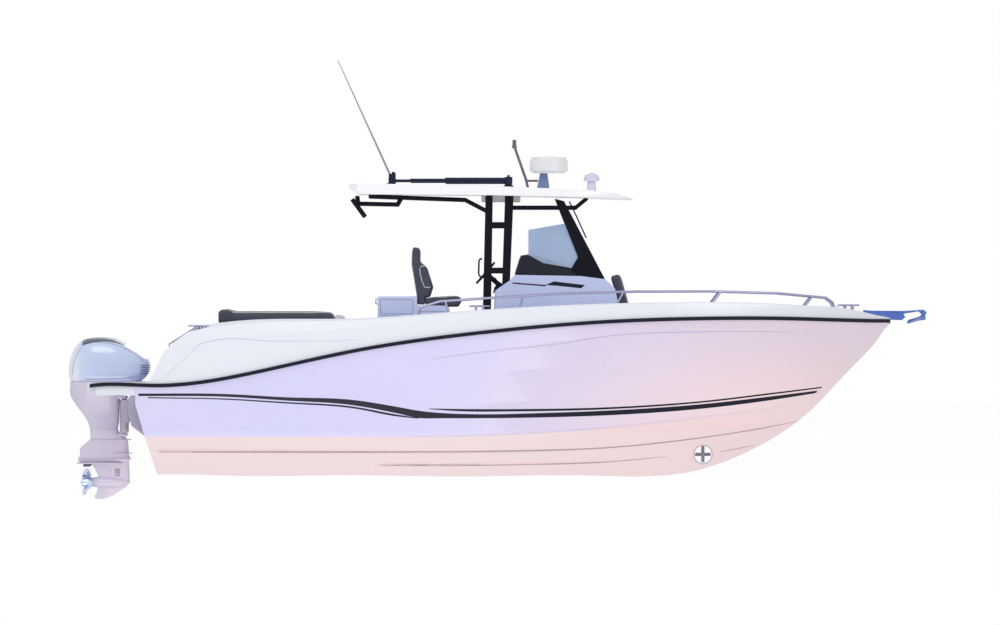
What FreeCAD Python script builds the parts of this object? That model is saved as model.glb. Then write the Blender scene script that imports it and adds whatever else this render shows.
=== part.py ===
import FreeCAD, Part
import Sketcher
import math
import os
import re
from collections import namedtuple

# A center console boat about ten metres long. Millimetres; +X is forward, +Y is to port and
# +Z is up. The origin is on the centreline amidships, at the level of the water it floats on.

Vector = FreeCAD.Vector
ALONG_X = Vector(1, 0, 0)
ALONG_Y = Vector(0, 1, 0)
ALONG_Z = Vector(0, 0, 1)

document = FreeCAD.newDocument("CenterConsoleBoat")
sheet = document.addObject("Spreadsheet::Sheet", "Sizes")

# Driving sizes: name, value in millimetres or degrees, what it is
SIZES = (
    ("HullReach", 4890, "bow end of the hull, forward of amidships"),
    ("HullAft", -4330, "top of the transom, aft of amidships"),
    ("HalfBeam", 1600, "half the greatest breadth at the sheer"),
    ("TransomRun", 246, "how far the transom's foot stands forward of its top"),
    ("TransomTop", 330, "height of the cut-down transom that carries the engines"),
    ("TransomWall", 90, "thickness of the transom"),
    ("WellFloor", 60, "height of the engine well's floor"),
    ("WellFront", -3640, "forward wall of the engine well"),
    ("WellHalf", 800, "half width of the engine well"),
    ("PassageInner", 850, "inner side of the boarding passage"),
    ("PassageOuter", 1210, "outer side of the boarding passage, at the drawn beam"),
    ("PassageFloor", 590, "height of the passage and the swim platform"),
    ("CockpitAft", -3330, "aft wall of the cockpit"),
    ("CockpitFront", 3600, "forward wall of the bow cockpit"),
    ("SoleTop", 700, "height of the sole"),
    ("SoleThick", 25, "thickness of the sole"),
    ("RailDepth", 46, "height of the rub rail's section"),
    ("RailOut", 34, "how far the rub rail stands out"),
    ("PlatformAft", -4925, "aft edge of the swim platform"),
    ("PlatformThick", 160, "thickness of the swim platform"),
    ("TunnelX", 2595, "centre of the bow thruster's tunnel"),
    ("TunnelZ", -299, "height of the bow thruster's tunnel"),
    ("TunnelRadius", 105, "inner radius of the bow thruster's tunnel"),
    ("LockerAft", 3700, "aft edge of the anchor locker's hatch"),
    ("LockerFront", 4230, "forward edge of the anchor locker's hatch"),
    ("LockerHalfAft", 330, "half width of the hatch at its aft edge"),
    ("LockerHalfFront", 180, "half width of the hatch at its forward edge"),
    ("LockerFloor", 1150, "height of the anchor locker's floor"),
    ("LidThick", 30, "thickness of hatch lids"),
    ("LidGap", 6, "gap round hatch lids and doors"),
    ("KnuckleRadius", 8, "outer radius of the doors' hinge knuckles"),
    ("KnuckleHigh", 60, "height of a hinge's moving knuckle"),
    ("HingePin", 4, "radius of the doors' hinge pins"),
    ("Running", 0.08, "radial clearance of a pin in its bore"),
    ("GateThick", 45, "thickness of the transom gate"),
    ("GateTop", 1205, "top of the transom gate"),
    ("SillThick", 60, "thickness of the step under the transom gate"),
    ("SillSeat", 20, "height of the hull's part of that step"),
    ("SternJoint", -3200, "joint between the boat's stern length and its side length"),
    ("BowJoint", 2408, "joint between the boat's side length and its bow length"),
    ("RailGap", 0.8, "bedding between the rub rail and the sheer"),
    ("Bedding", 0.4, "bedding between the hull and the deck mouldings"),
    ("Seat", 0.3, "gap under soft cushions"),
    ("SunpadAft", -3322, "aft end of the sunpad's locker"),
    ("SunpadFront", -1905, "forward end of the sunpad's locker"),
    ("SunpadHalf", 820, "half width of the sunpad's locker"),
    ("SunpadTop", 1302, "top of the sunpad's lid"),
    ("SunpadWall", 45, "wall of the sunpad's locker"),
    ("SunpadPad", 134, "thickness of the sunpad's cushion"),
    ("SunpadHead", 175, "height of the sunpad's head bolster"),
    ("BackrestThick", 120, "thickness of the aft backrest"),
    ("PostAft", -1384, "aft end of the leaning post"),
    ("PostStep", -900, "step in the leaning post's top"),
    ("PostFront", -527, "forward end of the leaning post"),
    ("PostHigh", 1637, "high top of the leaning post"),
    ("PostLow", 1524, "low top of the leaning post, under the helm seats"),
    ("PostHalf", 620, "half width of the leaning post"),
    ("HelmSeatHalf", 275, "half width of one helm seat"),
    ("HelmSeatY", 300, "how far each helm seat's middle is off the centreline"),
    ("HelmSeatFront", -343, "forward edge of the helm seats"),
    ("HelmSeatPad", 105, "thickness of the helm seats' cushions"),
    ("HelmBackTop", 2046, "top of the helm seats' backs"),
    ("HeadrestTop", 2249, "top of the headrests"),
    ("ConsoleAft", 37, "aft face of the console"),
    ("ConsoleFront", 1556, "forward face of the console"),
    ("ConsoleHalf", 640, "half width of the console"),
    ("ConsoleWall", 35, "thickness of the console's wall and door"),
    ("ConsoleBrow", 1899, "top of the console's aft slope"),
    ("ConsoleNose", 1846, "top of the console's nose"),
    ("DoorAft", 480, "aft edge of the console door"),
    ("DoorFront", 1060, "forward edge of the console door"),
    ("DoorFoot", 790, "lower edge of the console door"),
    ("DoorHead", 1680, "upper edge of the console door"),
    ("DashHalf", 560, "half width of the dash hood"),
    ("DashTop", 2160, "top of the dash hood"),
    ("NoseSeatFront", 2060, "forward edge of the seat ahead of the console"),
    ("NoseSeatHalf", 470, "half width of the seat ahead of the console"),
    ("SeatTop", 1090, "top of the seat lockers"),
    ("SeatPad", 90, "thickness of the seat cushions"),
    ("BowSeatAft", 2450, "aft end of the bow seats"),
    ("BowSeatWide", 430, "width of the bow seats"),
    ("FrameInner", 580, "inner side of the hardtop's legs"),
    ("FrameOuter", 625, "outer side of the hardtop's legs"),
    ("FrameTop", 2868, "where the legs meet the hardtop's underside"),
    ("TubeRadius", 24, "radius of the hardtop frame's tubes"),
    ("TopAft", -1743, "aft edge of the hardtop"),
    ("TopFront", 1752, "forward edge of the hardtop"),
    ("TopHalf", 1130, "half width of the hardtop"),
    ("TopHigh", 3010, "highest line of the hardtop"),
    ("GlassThick", 10, "thickness of the glass"),
    ("RackRadius", 27, "outer radius of a rod holder"),
    ("RackBore", 22, "inner radius of a rod holder"),
    ("RackLong", 260, "length of a rod holder"),
    ("RackPitch", 380, "distance between rod holders"),
    ("WheelX", -67, "helm wheel's centre, along the boat"),
    ("WheelZ", 1923, "helm wheel's centre, height"),
    ("WheelY", 300, "helm wheel's centre, to starboard of the centreline"),
    ("WheelRadius", 165, "radius of the helm wheel's rim"),
    ("WheelTilt", 41, "slope of the helm wheel's axis above level"),
    ("DomeRadius", 235, "radius of the radar dome"),
    ("OutriggerInset", 170, "how far each outrigger stands in from the hardtop's edge"),
    ("OutriggerX", 214, "outrigger's pivot, along the boat"),
    ("OutriggerZ", 3052, "outrigger's height"),
    ("OutriggerRadius", 34, "radius of the outrigger's thick tube"),
    ("AntennaX", -1231, "antenna's base, along the boat"),
    ("AntennaInset", 430, "how far the antenna stands in from the hardtop's starboard edge"),
    ("AntennaZ", 3118, "antenna's fold pin, height"),
    ("AntennaLong", 1540, "length of the whip antenna"),
    ("BowRailRadius", 15, "radius of the bow rail's tube"),
    ("EngineY", 370, "how far each engine is off the centreline"),
    ("TiltX", -4350, "engine's tilt axis, along the boat"),
    ("TiltZ", 395, "engine's tilt axis, height"),
    ("SteerX", -4492, "engine's steering axis, along the boat"),
    ("PropZ", -637, "propeller shaft's height"),
    ("PropRadius", 190, "radius of the propeller"),
    ("ShaftRadius", 19, "radius of the propeller shaft"),
)

for row, (name, value, meaning) in enumerate(SIZES, start=1):
    sheet.set(f"A{row}", name)
    sheet.set(f"B{row}", str(value))
    sheet.setAlias(f"B{row}", name)
    sheet.set(f"C{row}", meaning)
document.recompute()

PIECES = []


def size(name):
    """The value of one driving size."""
    return float(sheet.get(name))


def bind(item, **expressions):
    """Bind an object's properties to expressions of the driving sizes."""
    for path, text in expressions.items():
        item.setExpression(path.replace("__", "."), prefixed(text))


def piece(item, label):
    """Give a finished sub-part the label that names its file."""
    item.Label = label
    PIECES.append(item)
    return item


def feature(name, shape):
    """An object that carries a shape worked out by lofts or booleans."""
    item = document.addObject("Part::Feature", name)
    item.Shape = shape
    return item


def prefixed(text):
    """An expression with each driving size's name turned into its cell in the sheet."""
    return re.sub(r"\b([A-Z]\w+)", r"Sizes.\1", text)


def prism(corners, start, end, across=ALONG_Y):
    """A straight solid: an outline of (first, second) pairs carried from start to end.
    Across Y the pairs are X and Z, across Z they are X and Y, across X they are Y and Z."""
    if across == ALONG_Y:
        points = [Vector(a, start, b) for a, b in corners]
    elif across == ALONG_Z:
        points = [Vector(a, b, start) for a, b in corners]
    else:
        points = [Vector(start, a, b) for a, b in corners]
    outline = Part.makePolygon(points + points[:1])
    return Part.Face(outline).extrude(across * (end - start))


# Hull lines. Each station gives heights and half breadths of the keel, chine, sheer and
# gunwale. Lengths run with HullReach and HullAft, breadths with HalfBeam.
Station = namedtuple("Station", "x keel_z chine_z chine_y sheer_z sheer_y flare gunwale_z gunwale_y")
STATIONS = tuple(Station(*row) for row in (
    # x, keel_z, chine_z, chine_y, sheer_z, sheer_y, flare, gunwale_z, gunwale_y
    (-4330, -556, -76, 1270, 558, 1455, 0, 1270, 1400),
    (-3275, -558, -76, 1275, 630, 1520, 5, 1318, 1460),
    (-2275, -560, -76, 1275, 843, 1570, 10, 1362, 1510),
    (-1115, -562, -74, 1275, 1066, 1595, 15, 1397, 1550),
    (110, -565, -40, 1270, 1219, 1600, 25, 1487, 1560),
    (1470, -566, 53, 1190, 1330, 1565, 45, 1550, 1535),
    (2408, -520, 150, 985, 1363, 1450, 70, 1567, 1435),
    (3221, -228, 250, 660, 1370, 1225, 85, 1558, 1215),
    (3740, 92, 345, 385, 1362, 1000, 80, 1532, 990),
    (4170, 500, 590, 130, 1350, 730, 55, 1508, 722),
    (4533, 880, 930, 40, 1340, 450, 25, 1450, 442),
    (4814, 1225, 1243, 14, 1336, 170, 6, 1390, 160),
    (4890, 1296, 1308, 8, 1333, 75, 2, 1372, 66),
))
DRAWN_REACH = 4890
DRAWN_AFT = -4330
DRAWN_HALF_BEAM = 1600
CHINE_FLAT = 0.07
TOPSIDE_STEPS = (0.3, 0.6, 0.85)

# Lengths and a half breadth that lie clear of the whole boat, for the tools that cut it
AHEAD = size("HullReach") + 510
ASTERN = size("PlatformAft") - 275
ABEAM = 2 * size("HalfBeam")


def station_x(x):
    """A drawn length brought to the hull's own ends."""
    if x > 0:
        return x * size("HullReach") / DRAWN_REACH
    return x * size("HullAft") / DRAWN_AFT


def breadth(y):
    """A drawn half breadth brought to the hull's own beam."""
    return y * size("HalfBeam") / DRAWN_HALF_BEAM


def lines_at(x, column):
    """One column of the hull lines at any length, between the stations on each side."""
    lengths = [station_x(station.x) for station in STATIONS]
    values = [getattr(station, column) for station in STATIONS]
    if column.endswith("_y"):
        values = [breadth(value) for value in values]
    for i in range(len(lengths) - 1):
        if x <= lengths[i + 1] or i == len(lengths) - 2:
            share = (x - lengths[i]) / (lengths[i + 1] - lengths[i])
            return values[i] + share * (values[i + 1] - values[i])


def closed_section(x, half):
    """A closed wire across the boat from half a section's (y, z) points, keel side first."""
    port = [Vector(x, y, z) for y, z in half]
    starboard = [Vector(x, -y, z) for y, z in reversed(half) if y > 0]
    return Part.makePolygon(port + starboard + port[:1])


def hull_section(station):
    """Bottom, chine flat and flared topside of one station."""
    chine_y = breadth(station.chine_y)
    sheer_y = breadth(station.sheer_y)
    half = [(0, station.keel_z), (chine_y * (1 - CHINE_FLAT), station.chine_z), (chine_y, station.chine_z)]
    for share in TOPSIDE_STEPS + (1,):
        y = chine_y + (sheer_y - chine_y) * share - station.flare * 4 * share * (1 - share)
        half.append((y, station.chine_z + (station.sheer_z - station.chine_z) * share))
    half[2] = (chine_y, station.chine_z + 2)
    return closed_section(station_x(station.x), half)


def deck_section(station):
    """Side of the deck moulding from the sheer up to the gunwale, and across."""
    x = station_x(station.x)
    sheer_y = breadth(station.sheer_y)
    gunwale_y = breadth(station.gunwale_y)
    rise = station.gunwale_z - station.sheer_z
    port = [
        Vector(x, sheer_y, station.sheer_z + size("Bedding")),
        Vector(x, 0.35 * sheer_y + 0.65 * gunwale_y + 0.02 * rise, station.sheer_z + 0.7 * rise),
        Vector(x, gunwale_y, station.gunwale_z - 0.06 * rise),
        Vector(x, gunwale_y - 0.06 * rise, station.gunwale_z),
    ]
    starboard = [Vector(x, -point.y, point.z) for point in reversed(port)]
    return Part.makePolygon(port + starboard + port[:1])


def half_loft(sections, ruled=False):
    """A solid through closed sections that follow each other along the boat."""
    return Part.makeLoft(sections, True, ruled, False, 3)


# The cockpit's inner walls in plan: length, half breadth
COCKPIT_PLAN = ((size("CockpitAft"), 1230), (-1115, 1275), (110, 1275), (1470, 1215), (2408, 1030),
                (3100, 740), (size("CockpitFront"), 420))


def cockpit_half(x):
    """Half breadth of the cockpit's inner walls at a length."""
    for (x0, y0), (x1, y1) in zip(COCKPIT_PLAN, COCKPIT_PLAN[1:]):
        if x <= x1:
            return breadth(y0 + (y1 - y0) * (x - x0) / (x1 - x0))


def cockpit_outline(inset):
    """Plan of the cockpit's inner walls, port side first, drawn in by an inset."""
    aft, front = COCKPIT_PLAN[0][0] + inset, COCKPIT_PLAN[-1][0] - inset
    port = [(min(max(x, aft), front), breadth(y) - inset) for x, y in COCKPIT_PLAN]
    return port + [(x, -y) for x, y in reversed(port)]


def stern_profile():
    """All that stands aft of and above the sloping stern quarters, as seen from the side."""
    # length, height
    slope = ((-4177, 576), (-3973, 968), (-3817, 1110), (-3687, 1200), (-3442, 1262), (-3381, 1330))
    return list(slope) + [(-3381, 1700), (ASTERN, 1700), (ASTERN, size("PassageFloor")),
                          (-4200, size("PassageFloor"))]


def make_spray_rail(start, end, share_start, share_end, width, side):
    """A lifting rail: a wedge along the bottom at a share of the way from keel to chine."""
    sections = []
    steps = 6
    for i in range(steps + 1):
        x = start + (end - start) * i / steps
        share = share_start + (share_end - share_start) * i / steps
        keel_z = lines_at(x, "keel_z")
        rise = lines_at(x, "chine_z") - keel_z
        out = lines_at(x, "chine_y") * (1 - CHINE_FLAT)
        taper = min(1, 0.25 + 1.5 * (steps - i) / steps)
        y = out * share
        z = keel_z + rise * share
        flat = width * taper
        lift = flat * rise / out
        corners = ((y - 10, z), (y + flat, z), (y + flat, z + lift + 12), (y - 10, z + lift + 12))
        points = [Vector(x, side * a, b) for a, b in corners]
        sections.append(Part.makePolygon(points + points[:1]))
    return half_loft(sections, True)


# Spray rails: start, end, share of the way up at each end, width
SPRAY_RAILS = (
    (-4080, 3100, 0.60, 0.50, 60),
    (-1400, 2150, 0.25, 0.30, 45),
)

well = Part.makeBox(
    -size("HullAft") + size("WellFront") - size("TransomWall"), 2 * size("WellHalf"), 2000,
    Vector(size("HullAft") + size("TransomWall"), -size("WellHalf"), size("WellFloor")))
notch = Part.makeBox(
    2 * size("TransomWall"), 2 * size("WellHalf"), 2000,
    Vector(size("HullAft") - size("TransomWall"), -size("WellHalf"), size("TransomTop")))
passage_outer = breadth(size("PassageOuter"))
passage_wide = passage_outer - size("PassageInner")
passage_start = Vector(size("HullAft") - 200, size("PassageInner"), size("PassageFloor"))
passage_long = size("CockpitAft") - passage_start.x
passage = Part.makeBox(passage_long, passage_wide, 1500, passage_start + Vector(0, 0, size("SillSeat"))).fuse(
    Part.makeBox(passage_long - size("SillThick"), passage_wide, 200, passage_start))
sill = Part.makeBox(
    size("SillThick"), passage_wide, size("SoleTop") - size("PassageFloor") - size("SillSeat"),
    passage_start + Vector(passage_long - size("SillThick"), 0, size("SillSeat")))
cavity = prism(cockpit_outline(0), size("SoleTop") - size("SoleThick"), 2200, ALONG_Z)
rake = prism(
    ((size("HullAft"), 318), (size("HullAft") + size("TransomRun"), -556),
     (size("HullAft") + size("TransomRun") + 60, -770), (ASTERN, -770), (ASTERN, 318)), -ABEAM, ABEAM)
tunnel = Part.makeCylinder(
    size("TunnelRadius"), 2400, Vector(size("TunnelX"), -1200, size("TunnelZ")), ALONG_Y)

hull_shape = half_loft([hull_section(station) for station in STATIONS])
for rail_start, rail_end, low, high, rail_width in SPRAY_RAILS:
    for side in (1, -1):
        hull_shape = hull_shape.fuse(make_spray_rail(rail_start, rail_end, low, high, rail_width, side))
deck_full = half_loft([deck_section(station) for station in STATIONS])
stern_cut = prism(stern_profile(), -ABEAM, ABEAM)


def surface_height(shape, x, y):
    """The highest point of a shape over one place in plan."""
    plumb = Part.makeLine(Vector(x, y, -1500), Vector(x, y, 5500))
    return max(vertex.Point.z for vertex in shape.common(plumb).Vertexes)


def locker_plan(inset):
    """Plan of the anchor locker's hatch, drawn in by an inset."""
    port = [(size("LockerAft") + inset, size("LockerHalfAft") - inset),
            (size("LockerFront") - inset, size("LockerHalfFront") - inset)]
    return port + [(x, -y) for x, y in reversed(port)]


hatch_line = [(size(name), surface_height(deck_full, size(name), 0)) for name in ("LockerAft", "LockerFront")]


def hatch_slab(thick, inset, above):
    """A slab of the foredeck between two depths, in the hatch's plan."""
    (x0, z0), (x1, z1) = hatch_line
    fall = (z1 - z0) / (x1 - x0)
    past = 50
    low_z, high_z = z0 - past * fall, z1 + past * fall
    band = prism(((x0 - past, low_z - thick), (x0 - past, low_z + above), (x1 + past, high_z + above),
                  (x1 + past, high_z - thick)), -ABEAM, ABEAM)
    return band.common(prism(locker_plan(inset), 1000, 1900, ALONG_Z))


locker = prism(locker_plan(32), size("LockerFloor"), 1900, ALONG_Z)
recess = hatch_slab(size("LidThick"), -size("LidGap"), 200)
bulkhead_top = Part.makeBox(500, 2 * size("PassageInner"), 800, Vector(
    size("CockpitAft") - 400, -size("PassageInner"), size("SunpadTop") - size("LidThick") - 45))
hull_shape = hull_shape.cut([rake, well, notch, passage, cavity, tunnel, locker])


def boat_lengths(shape, name, label):
    """One sub-part for each of the boat's three lengths, between its two joints."""
    ends = (("stern", ASTERN, size("SternJoint")), ("side", size("SternJoint"), size("BowJoint")),
            ("bow", size("BowJoint"), AHEAD))
    for end, low, high in ends:
        between = Part.makeBox(high - low, 2 * ABEAM, 3000, Vector(low, -ABEAM, -1000))
        piece(feature(end.title() + name, shape.common(between)), f"{end}_{label}")


boat_lengths(hull_shape, "Hull", "hull")


def fixed_knuckle(start, axis=ALONG_Z):
    """A hinge pin held by a knuckle at each end; start is where the moving knuckle starts."""
    radius = size("KnuckleRadius")
    high = size("KnuckleHigh")
    pin = Part.makeCylinder(size("HingePin"), high + 2 * radius + 8, start - axis * (radius + 4), axis)
    return pin.fuse([Part.makeCylinder(radius, radius, start - axis * (radius + 4), axis),
                     Part.makeCylinder(radius, radius, start + axis * (high + 4), axis)])


def moving_knuckle(start, axis=ALONG_Z):
    """The knuckle on a hinge pin that a door, gate or lid carries."""
    knuckle = Part.makeCylinder(size("KnuckleRadius"), size("KnuckleHigh"), start, axis)
    return knuckle.cut(Part.makeCylinder(size("HingePin") + size("Running"), 2 * size("KnuckleHigh"),
                                         start - axis * 20, axis))


# Transom gate across the boarding passage, hinged outboard on the cockpit's aft wall
gate_thick = size("GateThick")
gate_x = size("CockpitAft") + 11
gate_y = passage_outer - 3
deck_shape = deck_full.cut([well, notch, passage, cavity, stern_cut, locker, recess, bulkhead_top]).fuse(sill)
gate = Part.makeBox(
    gate_thick, passage_wide - 2 * size("LidGap"),
    size("GateTop") - size("SoleTop") - 12,
    Vector(size("CockpitAft") - gate_thick, size("PassageInner") + size("LidGap"), size("SoleTop") + 12))
for low in (780, 1060):
    ends = fixed_knuckle(Vector(gate_x, gate_y, low))
    for leaf_z in (low - 16, low + size("KnuckleHigh") + 4):
        ends = ends.fuse(Part.makeBox(9, 34, 12, Vector(size("CockpitAft") - 2, gate_y + 5, leaf_z)))
    deck_shape = deck_shape.fuse(ends)
    leaf = Part.makeBox(7, 36, size("KnuckleHigh"), Vector(size("CockpitAft") - 1, gate_y - 41, low))
    gate = gate.fuse([moving_knuckle(Vector(gate_x, gate_y, low)), leaf])

# Anchor hatch, hinged at its forward edge
hatch = hatch_slab(size("LidThick") - size("Seat"), 0, 0)
hatch_hinge_z = hatch_line[1][1] + size("KnuckleRadius") + 1
for across in (-120, 60):
    start = Vector(size("LockerFront") + 3, across, hatch_hinge_z)
    ends = fixed_knuckle(start, ALONG_Y)
    for y in (across - 12, across + size("KnuckleHigh") + 4):
        ends = ends.fuse(Part.makeBox(24, 8, 18, Vector(size("LockerFront") + 8, y, hatch_hinge_z - 14)))
    deck_shape = deck_shape.fuse(ends)
    hatch = hatch.fuse([moving_knuckle(start, ALONG_Y), Part.makeBox(
        36, size("KnuckleHigh"), 8, Vector(size("LockerFront") - 36, across, hatch_hinge_z - 11))])

# The deck's mouldings: stern, the two gunwales and the foredeck
for name, label, low, high, first_y, last_y in (
        ("SternDeck", "stern_deck", ASTERN, size("SternJoint"), -ABEAM, ABEAM),
        ("PortGunwale", "port_gunwale", size("SternJoint"), size("BowJoint"), 0, ABEAM),
        ("StarboardGunwale", "starboard_gunwale", size("SternJoint"), size("BowJoint"), -ABEAM, 0),
        ("Foredeck", "foredeck", size("BowJoint"), AHEAD, -ABEAM, ABEAM)):
    piece(feature(name, deck_shape.common(Part.makeBox(
        high - low, last_y - first_y, 3000, Vector(low, first_y, -200)))), label)
piece(feature("AnchorHatch", hatch), "anchor_hatch")
piece(feature("TransomGate", gate), "transom_gate")

piece(feature("Sole", prism(
    cockpit_outline(2), size("SoleTop") - size("SoleThick"), size("SoleTop"), ALONG_Z)), "cockpit_sole")


def rub_rail_section(x, y, z, side):
    """The rub rail's section: flat inboard, rounded off outboard by three flats."""
    deep = size("RailDepth") / 2
    out = size("RailOut")
    near = size("RailGap")
    corners = ((near, -deep), (out * 0.6, -deep), (out, -deep * 0.4), (out, deep * 0.4), (out * 0.6, deep),
               (near, deep))
    points = [Vector(x, side * (y + a), z + b) for a, b in corners]
    return Part.makePolygon(points + points[:1])


rail_rows = [(size("PlatformAft") + 40, breadth(1400), 545)]
rail_rows += [(station_x(s.x), breadth(s.sheer_y), s.sheer_z) for s in STATIONS]
rail_halves = []
for side in (1, -1):
    rail = half_loft([rub_rail_section(x, y, z, side) for x, y, z in rail_rows])
    rail_halves.append(rail)
platform_outline = (
    (size("PlatformAft"), breadth(920)), (size("PlatformAft") + 60, breadth(880)),
    (size("HullAft"), breadth(880)),
    (size("HullAft"), breadth(1452)), (size("PlatformAft") + 120, breadth(1405)),
    (size("PlatformAft"), breadth(1300)))
wings = []
for side in (1, -1):
    wings.append(prism([(x, side * y) for x, y in platform_outline],
                       size("PassageFloor") - size("PlatformThick"), size("PassageFloor"), ALONG_Z))
boat_lengths(Part.makeCompound(rail_halves), "RubRail", "rub_rail")
piece(feature("SwimPlatform", Part.makeCompound(wings)), "swim_platform")


def outline_body(label, role, corners, depth, along="0"):
    """A body padded from one closed outline. Corners are pairs of expressions of the driving
    sizes; depth is spread evenly to both sides of the plane, which is moved along its normal."""
    body = document.addObject("PartDesign::Body", label.title().replace("_", ""))
    sketch = body.newObject("Sketcher::SketchObject", "Outline")
    plane = next(item for item in body.Origin.OriginFeatures if item.Role == role)
    sketch.AttachmentSupport = [(plane, "")]
    sketch.MapMode = "FlatFace"
    bind(sketch, AttachmentOffset__Base__z=along)
    count = len(corners)
    ring = [Vector(500 * math.cos(2 * math.pi * i / count), 500 * math.sin(2 * math.pi * i / count), 0)
            for i in range(count)]
    for i in range(count):
        sketch.addGeometry(Part.LineSegment(ring[i], ring[(i + 1) % count]))
    for i in range(count):
        sketch.addConstraint(Sketcher.Constraint("Coincident", i, 2, (i + 1) % count, 1))
    for i, corner in enumerate(corners):
        for kind, value, text in zip(("DistanceX", "DistanceY"), (ring[i].x, ring[i].y), corner):
            index = sketch.addConstraint(Sketcher.Constraint(kind, -1, 1, i, 1, value))
            sketch.setExpression(f"Constraints[{index}]", prefixed(text))
    pad = body.newObject("PartDesign::Pad", "Pad")
    pad.Profile = sketch
    pad.Midplane = True
    bind(pad, Length=depth)
    document.recompute()
    return body


def soften(body, radius, pick):
    """Round the edges of a body that a test picks out."""
    base = body.Tip
    names = [f"Edge{i}" for i, edge in enumerate(base.Shape.Edges, start=1) if pick(edge)]
    fillet = body.newObject("PartDesign::Fillet", "Rounding")
    fillet.Base = (base, names)
    bind(fillet, Radius=radius)
    document.recompute()
    return body


def runs_along(axis):
    """A test for straight edges that run along an axis."""
    def test(edge):
        return len(edge.Vertexes) == 2 and abs(edge.tangentAt(edge.FirstParameter).dot(axis)) > 0.999
    return test


def joined(label, items):
    """One object made of several objects fused together."""
    fusion = document.addObject("Part::MultiFuse", label.title().replace("_", ""))
    fusion.Shapes = items
    return fusion


def block(name, low, high):
    """A box between two corners, each a triple of expressions of the driving sizes."""
    item = document.addObject("Part::Box", name)
    bind(item, Length=f"({high[0]}) - ({low[0]})", Width=f"({high[1]}) - ({low[1]})",
         Height=f"({high[2]}) - ({low[2]})",
         Placement__Base__x=low[0], Placement__Base__y=low[1], Placement__Base__z=low[2])
    return item


def cut(name, base, tool):
    """One object with another cut out of it."""
    item = document.addObject("Part::Cut", name)
    item.Base = base
    item.Tool = tool
    return item


# Sunpad: an open locker on the sole, its lid, the cushion on the lid and the backrest ahead
sunpad_floor = "SunpadTop - LidThick"
locker_outside = block("SunpadOutside", ("SunpadAft", "-SunpadHalf", "SoleTop"),
                       ("SunpadFront", "SunpadHalf", sunpad_floor))
locker_inside = block(
    "SunpadInside", ("SunpadAft + SunpadWall", "-SunpadHalf + SunpadWall", "SoleTop + SunpadWall"),
    ("SunpadFront - SunpadWall", "SunpadHalf - SunpadWall", "SunpadTop + 10"))
piece(cut("SunpadBase", locker_outside, locker_inside), "sunpad_base")
piece(block("SunpadLid", ("SunpadAft", "-SunpadHalf", sunpad_floor + " + Seat"),
            ("SunpadFront - LidGap", "SunpadHalf", "SunpadTop")), "sunpad_lid")
sunpad_pad = "SunpadTop + SunpadPad"
sunpad_head = "SunpadTop + SunpadHead"
piece(outline_body("sunpad_cushion", "XZ_Plane", (
    ("SunpadAft - 20", "SunpadTop + Seat"), ("SunpadAft - 20", sunpad_head + " - 30"),
    ("SunpadAft + 10", sunpad_head), ("SunpadAft + 130", sunpad_head + " - 4"),
    ("SunpadAft + 160", sunpad_pad), ("SunpadFront - 30", sunpad_pad),
    ("SunpadFront - 5", sunpad_pad + " - 35"), ("SunpadFront - 5", "SunpadTop + Seat")),
    "2 * SunpadHalf - 20"), "sunpad_cushion")
piece(soften(outline_body("aft_backrest", "XZ_Plane", (
    ("SunpadFront + Seat", "SoleTop + 330"), ("SunpadFront + Seat", "SunpadTop + 105"),
    ("SunpadFront + 30", "SunpadTop + 120"), ("SunpadFront + BackrestThick - 15", "SunpadTop + 105"),
    ("SunpadFront + BackrestThick", "SoleTop + 330")),
    "2 * SunpadHalf - 60"), "30", runs_along(ALONG_Y)), "aft_backrest")

# Leaning post with the two helm seats on it
piece(soften(outline_body("leaning_post", "XZ_Plane", (
    ("PostAft", "SoleTop"), ("PostAft", "PostHigh"), ("PostStep", "PostHigh"), ("PostStep", "PostLow"),
    ("PostFront", "PostLow"), ("PostFront", "SoleTop")),
    "2 * PostHalf"), "28", lambda e: runs_along(ALONG_Y)(e) and e.CenterOfMass.z > 1000
    and not (e.CenterOfMass.z < size("PostLow") + 1 and e.CenterOfMass.x < size("PostStep") + 1)),
    "leaning_post")
seats = []
backs = []
for side, offset in (("port", "-HelmSeatY"), ("starboard", "HelmSeatY")):
    seats.append(soften(outline_body(f"helm_seat_{side}", "XZ_Plane", (
        ("PostStep + 90", "PostLow + Seat"), ("PostStep + 90", "PostLow + HelmSeatPad - 20"),
        ("HelmSeatFront - 40", "PostLow + HelmSeatPad"), ("HelmSeatFront", "PostLow + HelmSeatPad - 40"),
        ("HelmSeatFront - 40", "PostLow - 5"), ("PostFront + 1", "PostLow - 5"),
        ("PostFront + 1", "PostLow + Seat")),
        "2 * HelmSeatHalf", offset), "16",
        lambda e: runs_along(ALONG_Y)(e) and e.CenterOfMass.z > size("PostLow") + 20))
    backs.append(soften(outline_body(f"helm_back_{side}", "XZ_Plane", (
        ("PostStep + 5", "PostLow + HelmSeatPad"), ("PostStep - 62", "HelmBackTop - 10"),
        ("PostStep - 52", "HeadrestTop"), ("PostStep + 25", "HeadrestTop - 10"),
        ("PostStep + 25", "HelmBackTop + 15"), ("PostStep + 107", "HelmBackTop - 58"),
        ("PostStep + 183", "PostLow + 224"), ("PostStep + 145", "PostLow + HelmSeatPad"),
        ("PostStep + 89", "PostLow + HelmSeatPad"), ("PostStep + 89", "PostLow + Seat"),
        ("PostStep + 5", "PostLow + Seat")),
        "2 * HelmSeatHalf", offset), "12",
        lambda e: runs_along(ALONG_Y)(e) and e.CenterOfMass.z > size("PostLow") + 180))


def grouped(name, items, label):
    """One sub-part of several like solids that don't touch."""
    group = document.addObject("Part::Compound", name)
    group.Links = items
    return piece(group, label)


grouped("HelmSeats", seats, "helm_seat_cushions")
grouped("HelmBacks", backs, "helm_seat_backs")


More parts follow.
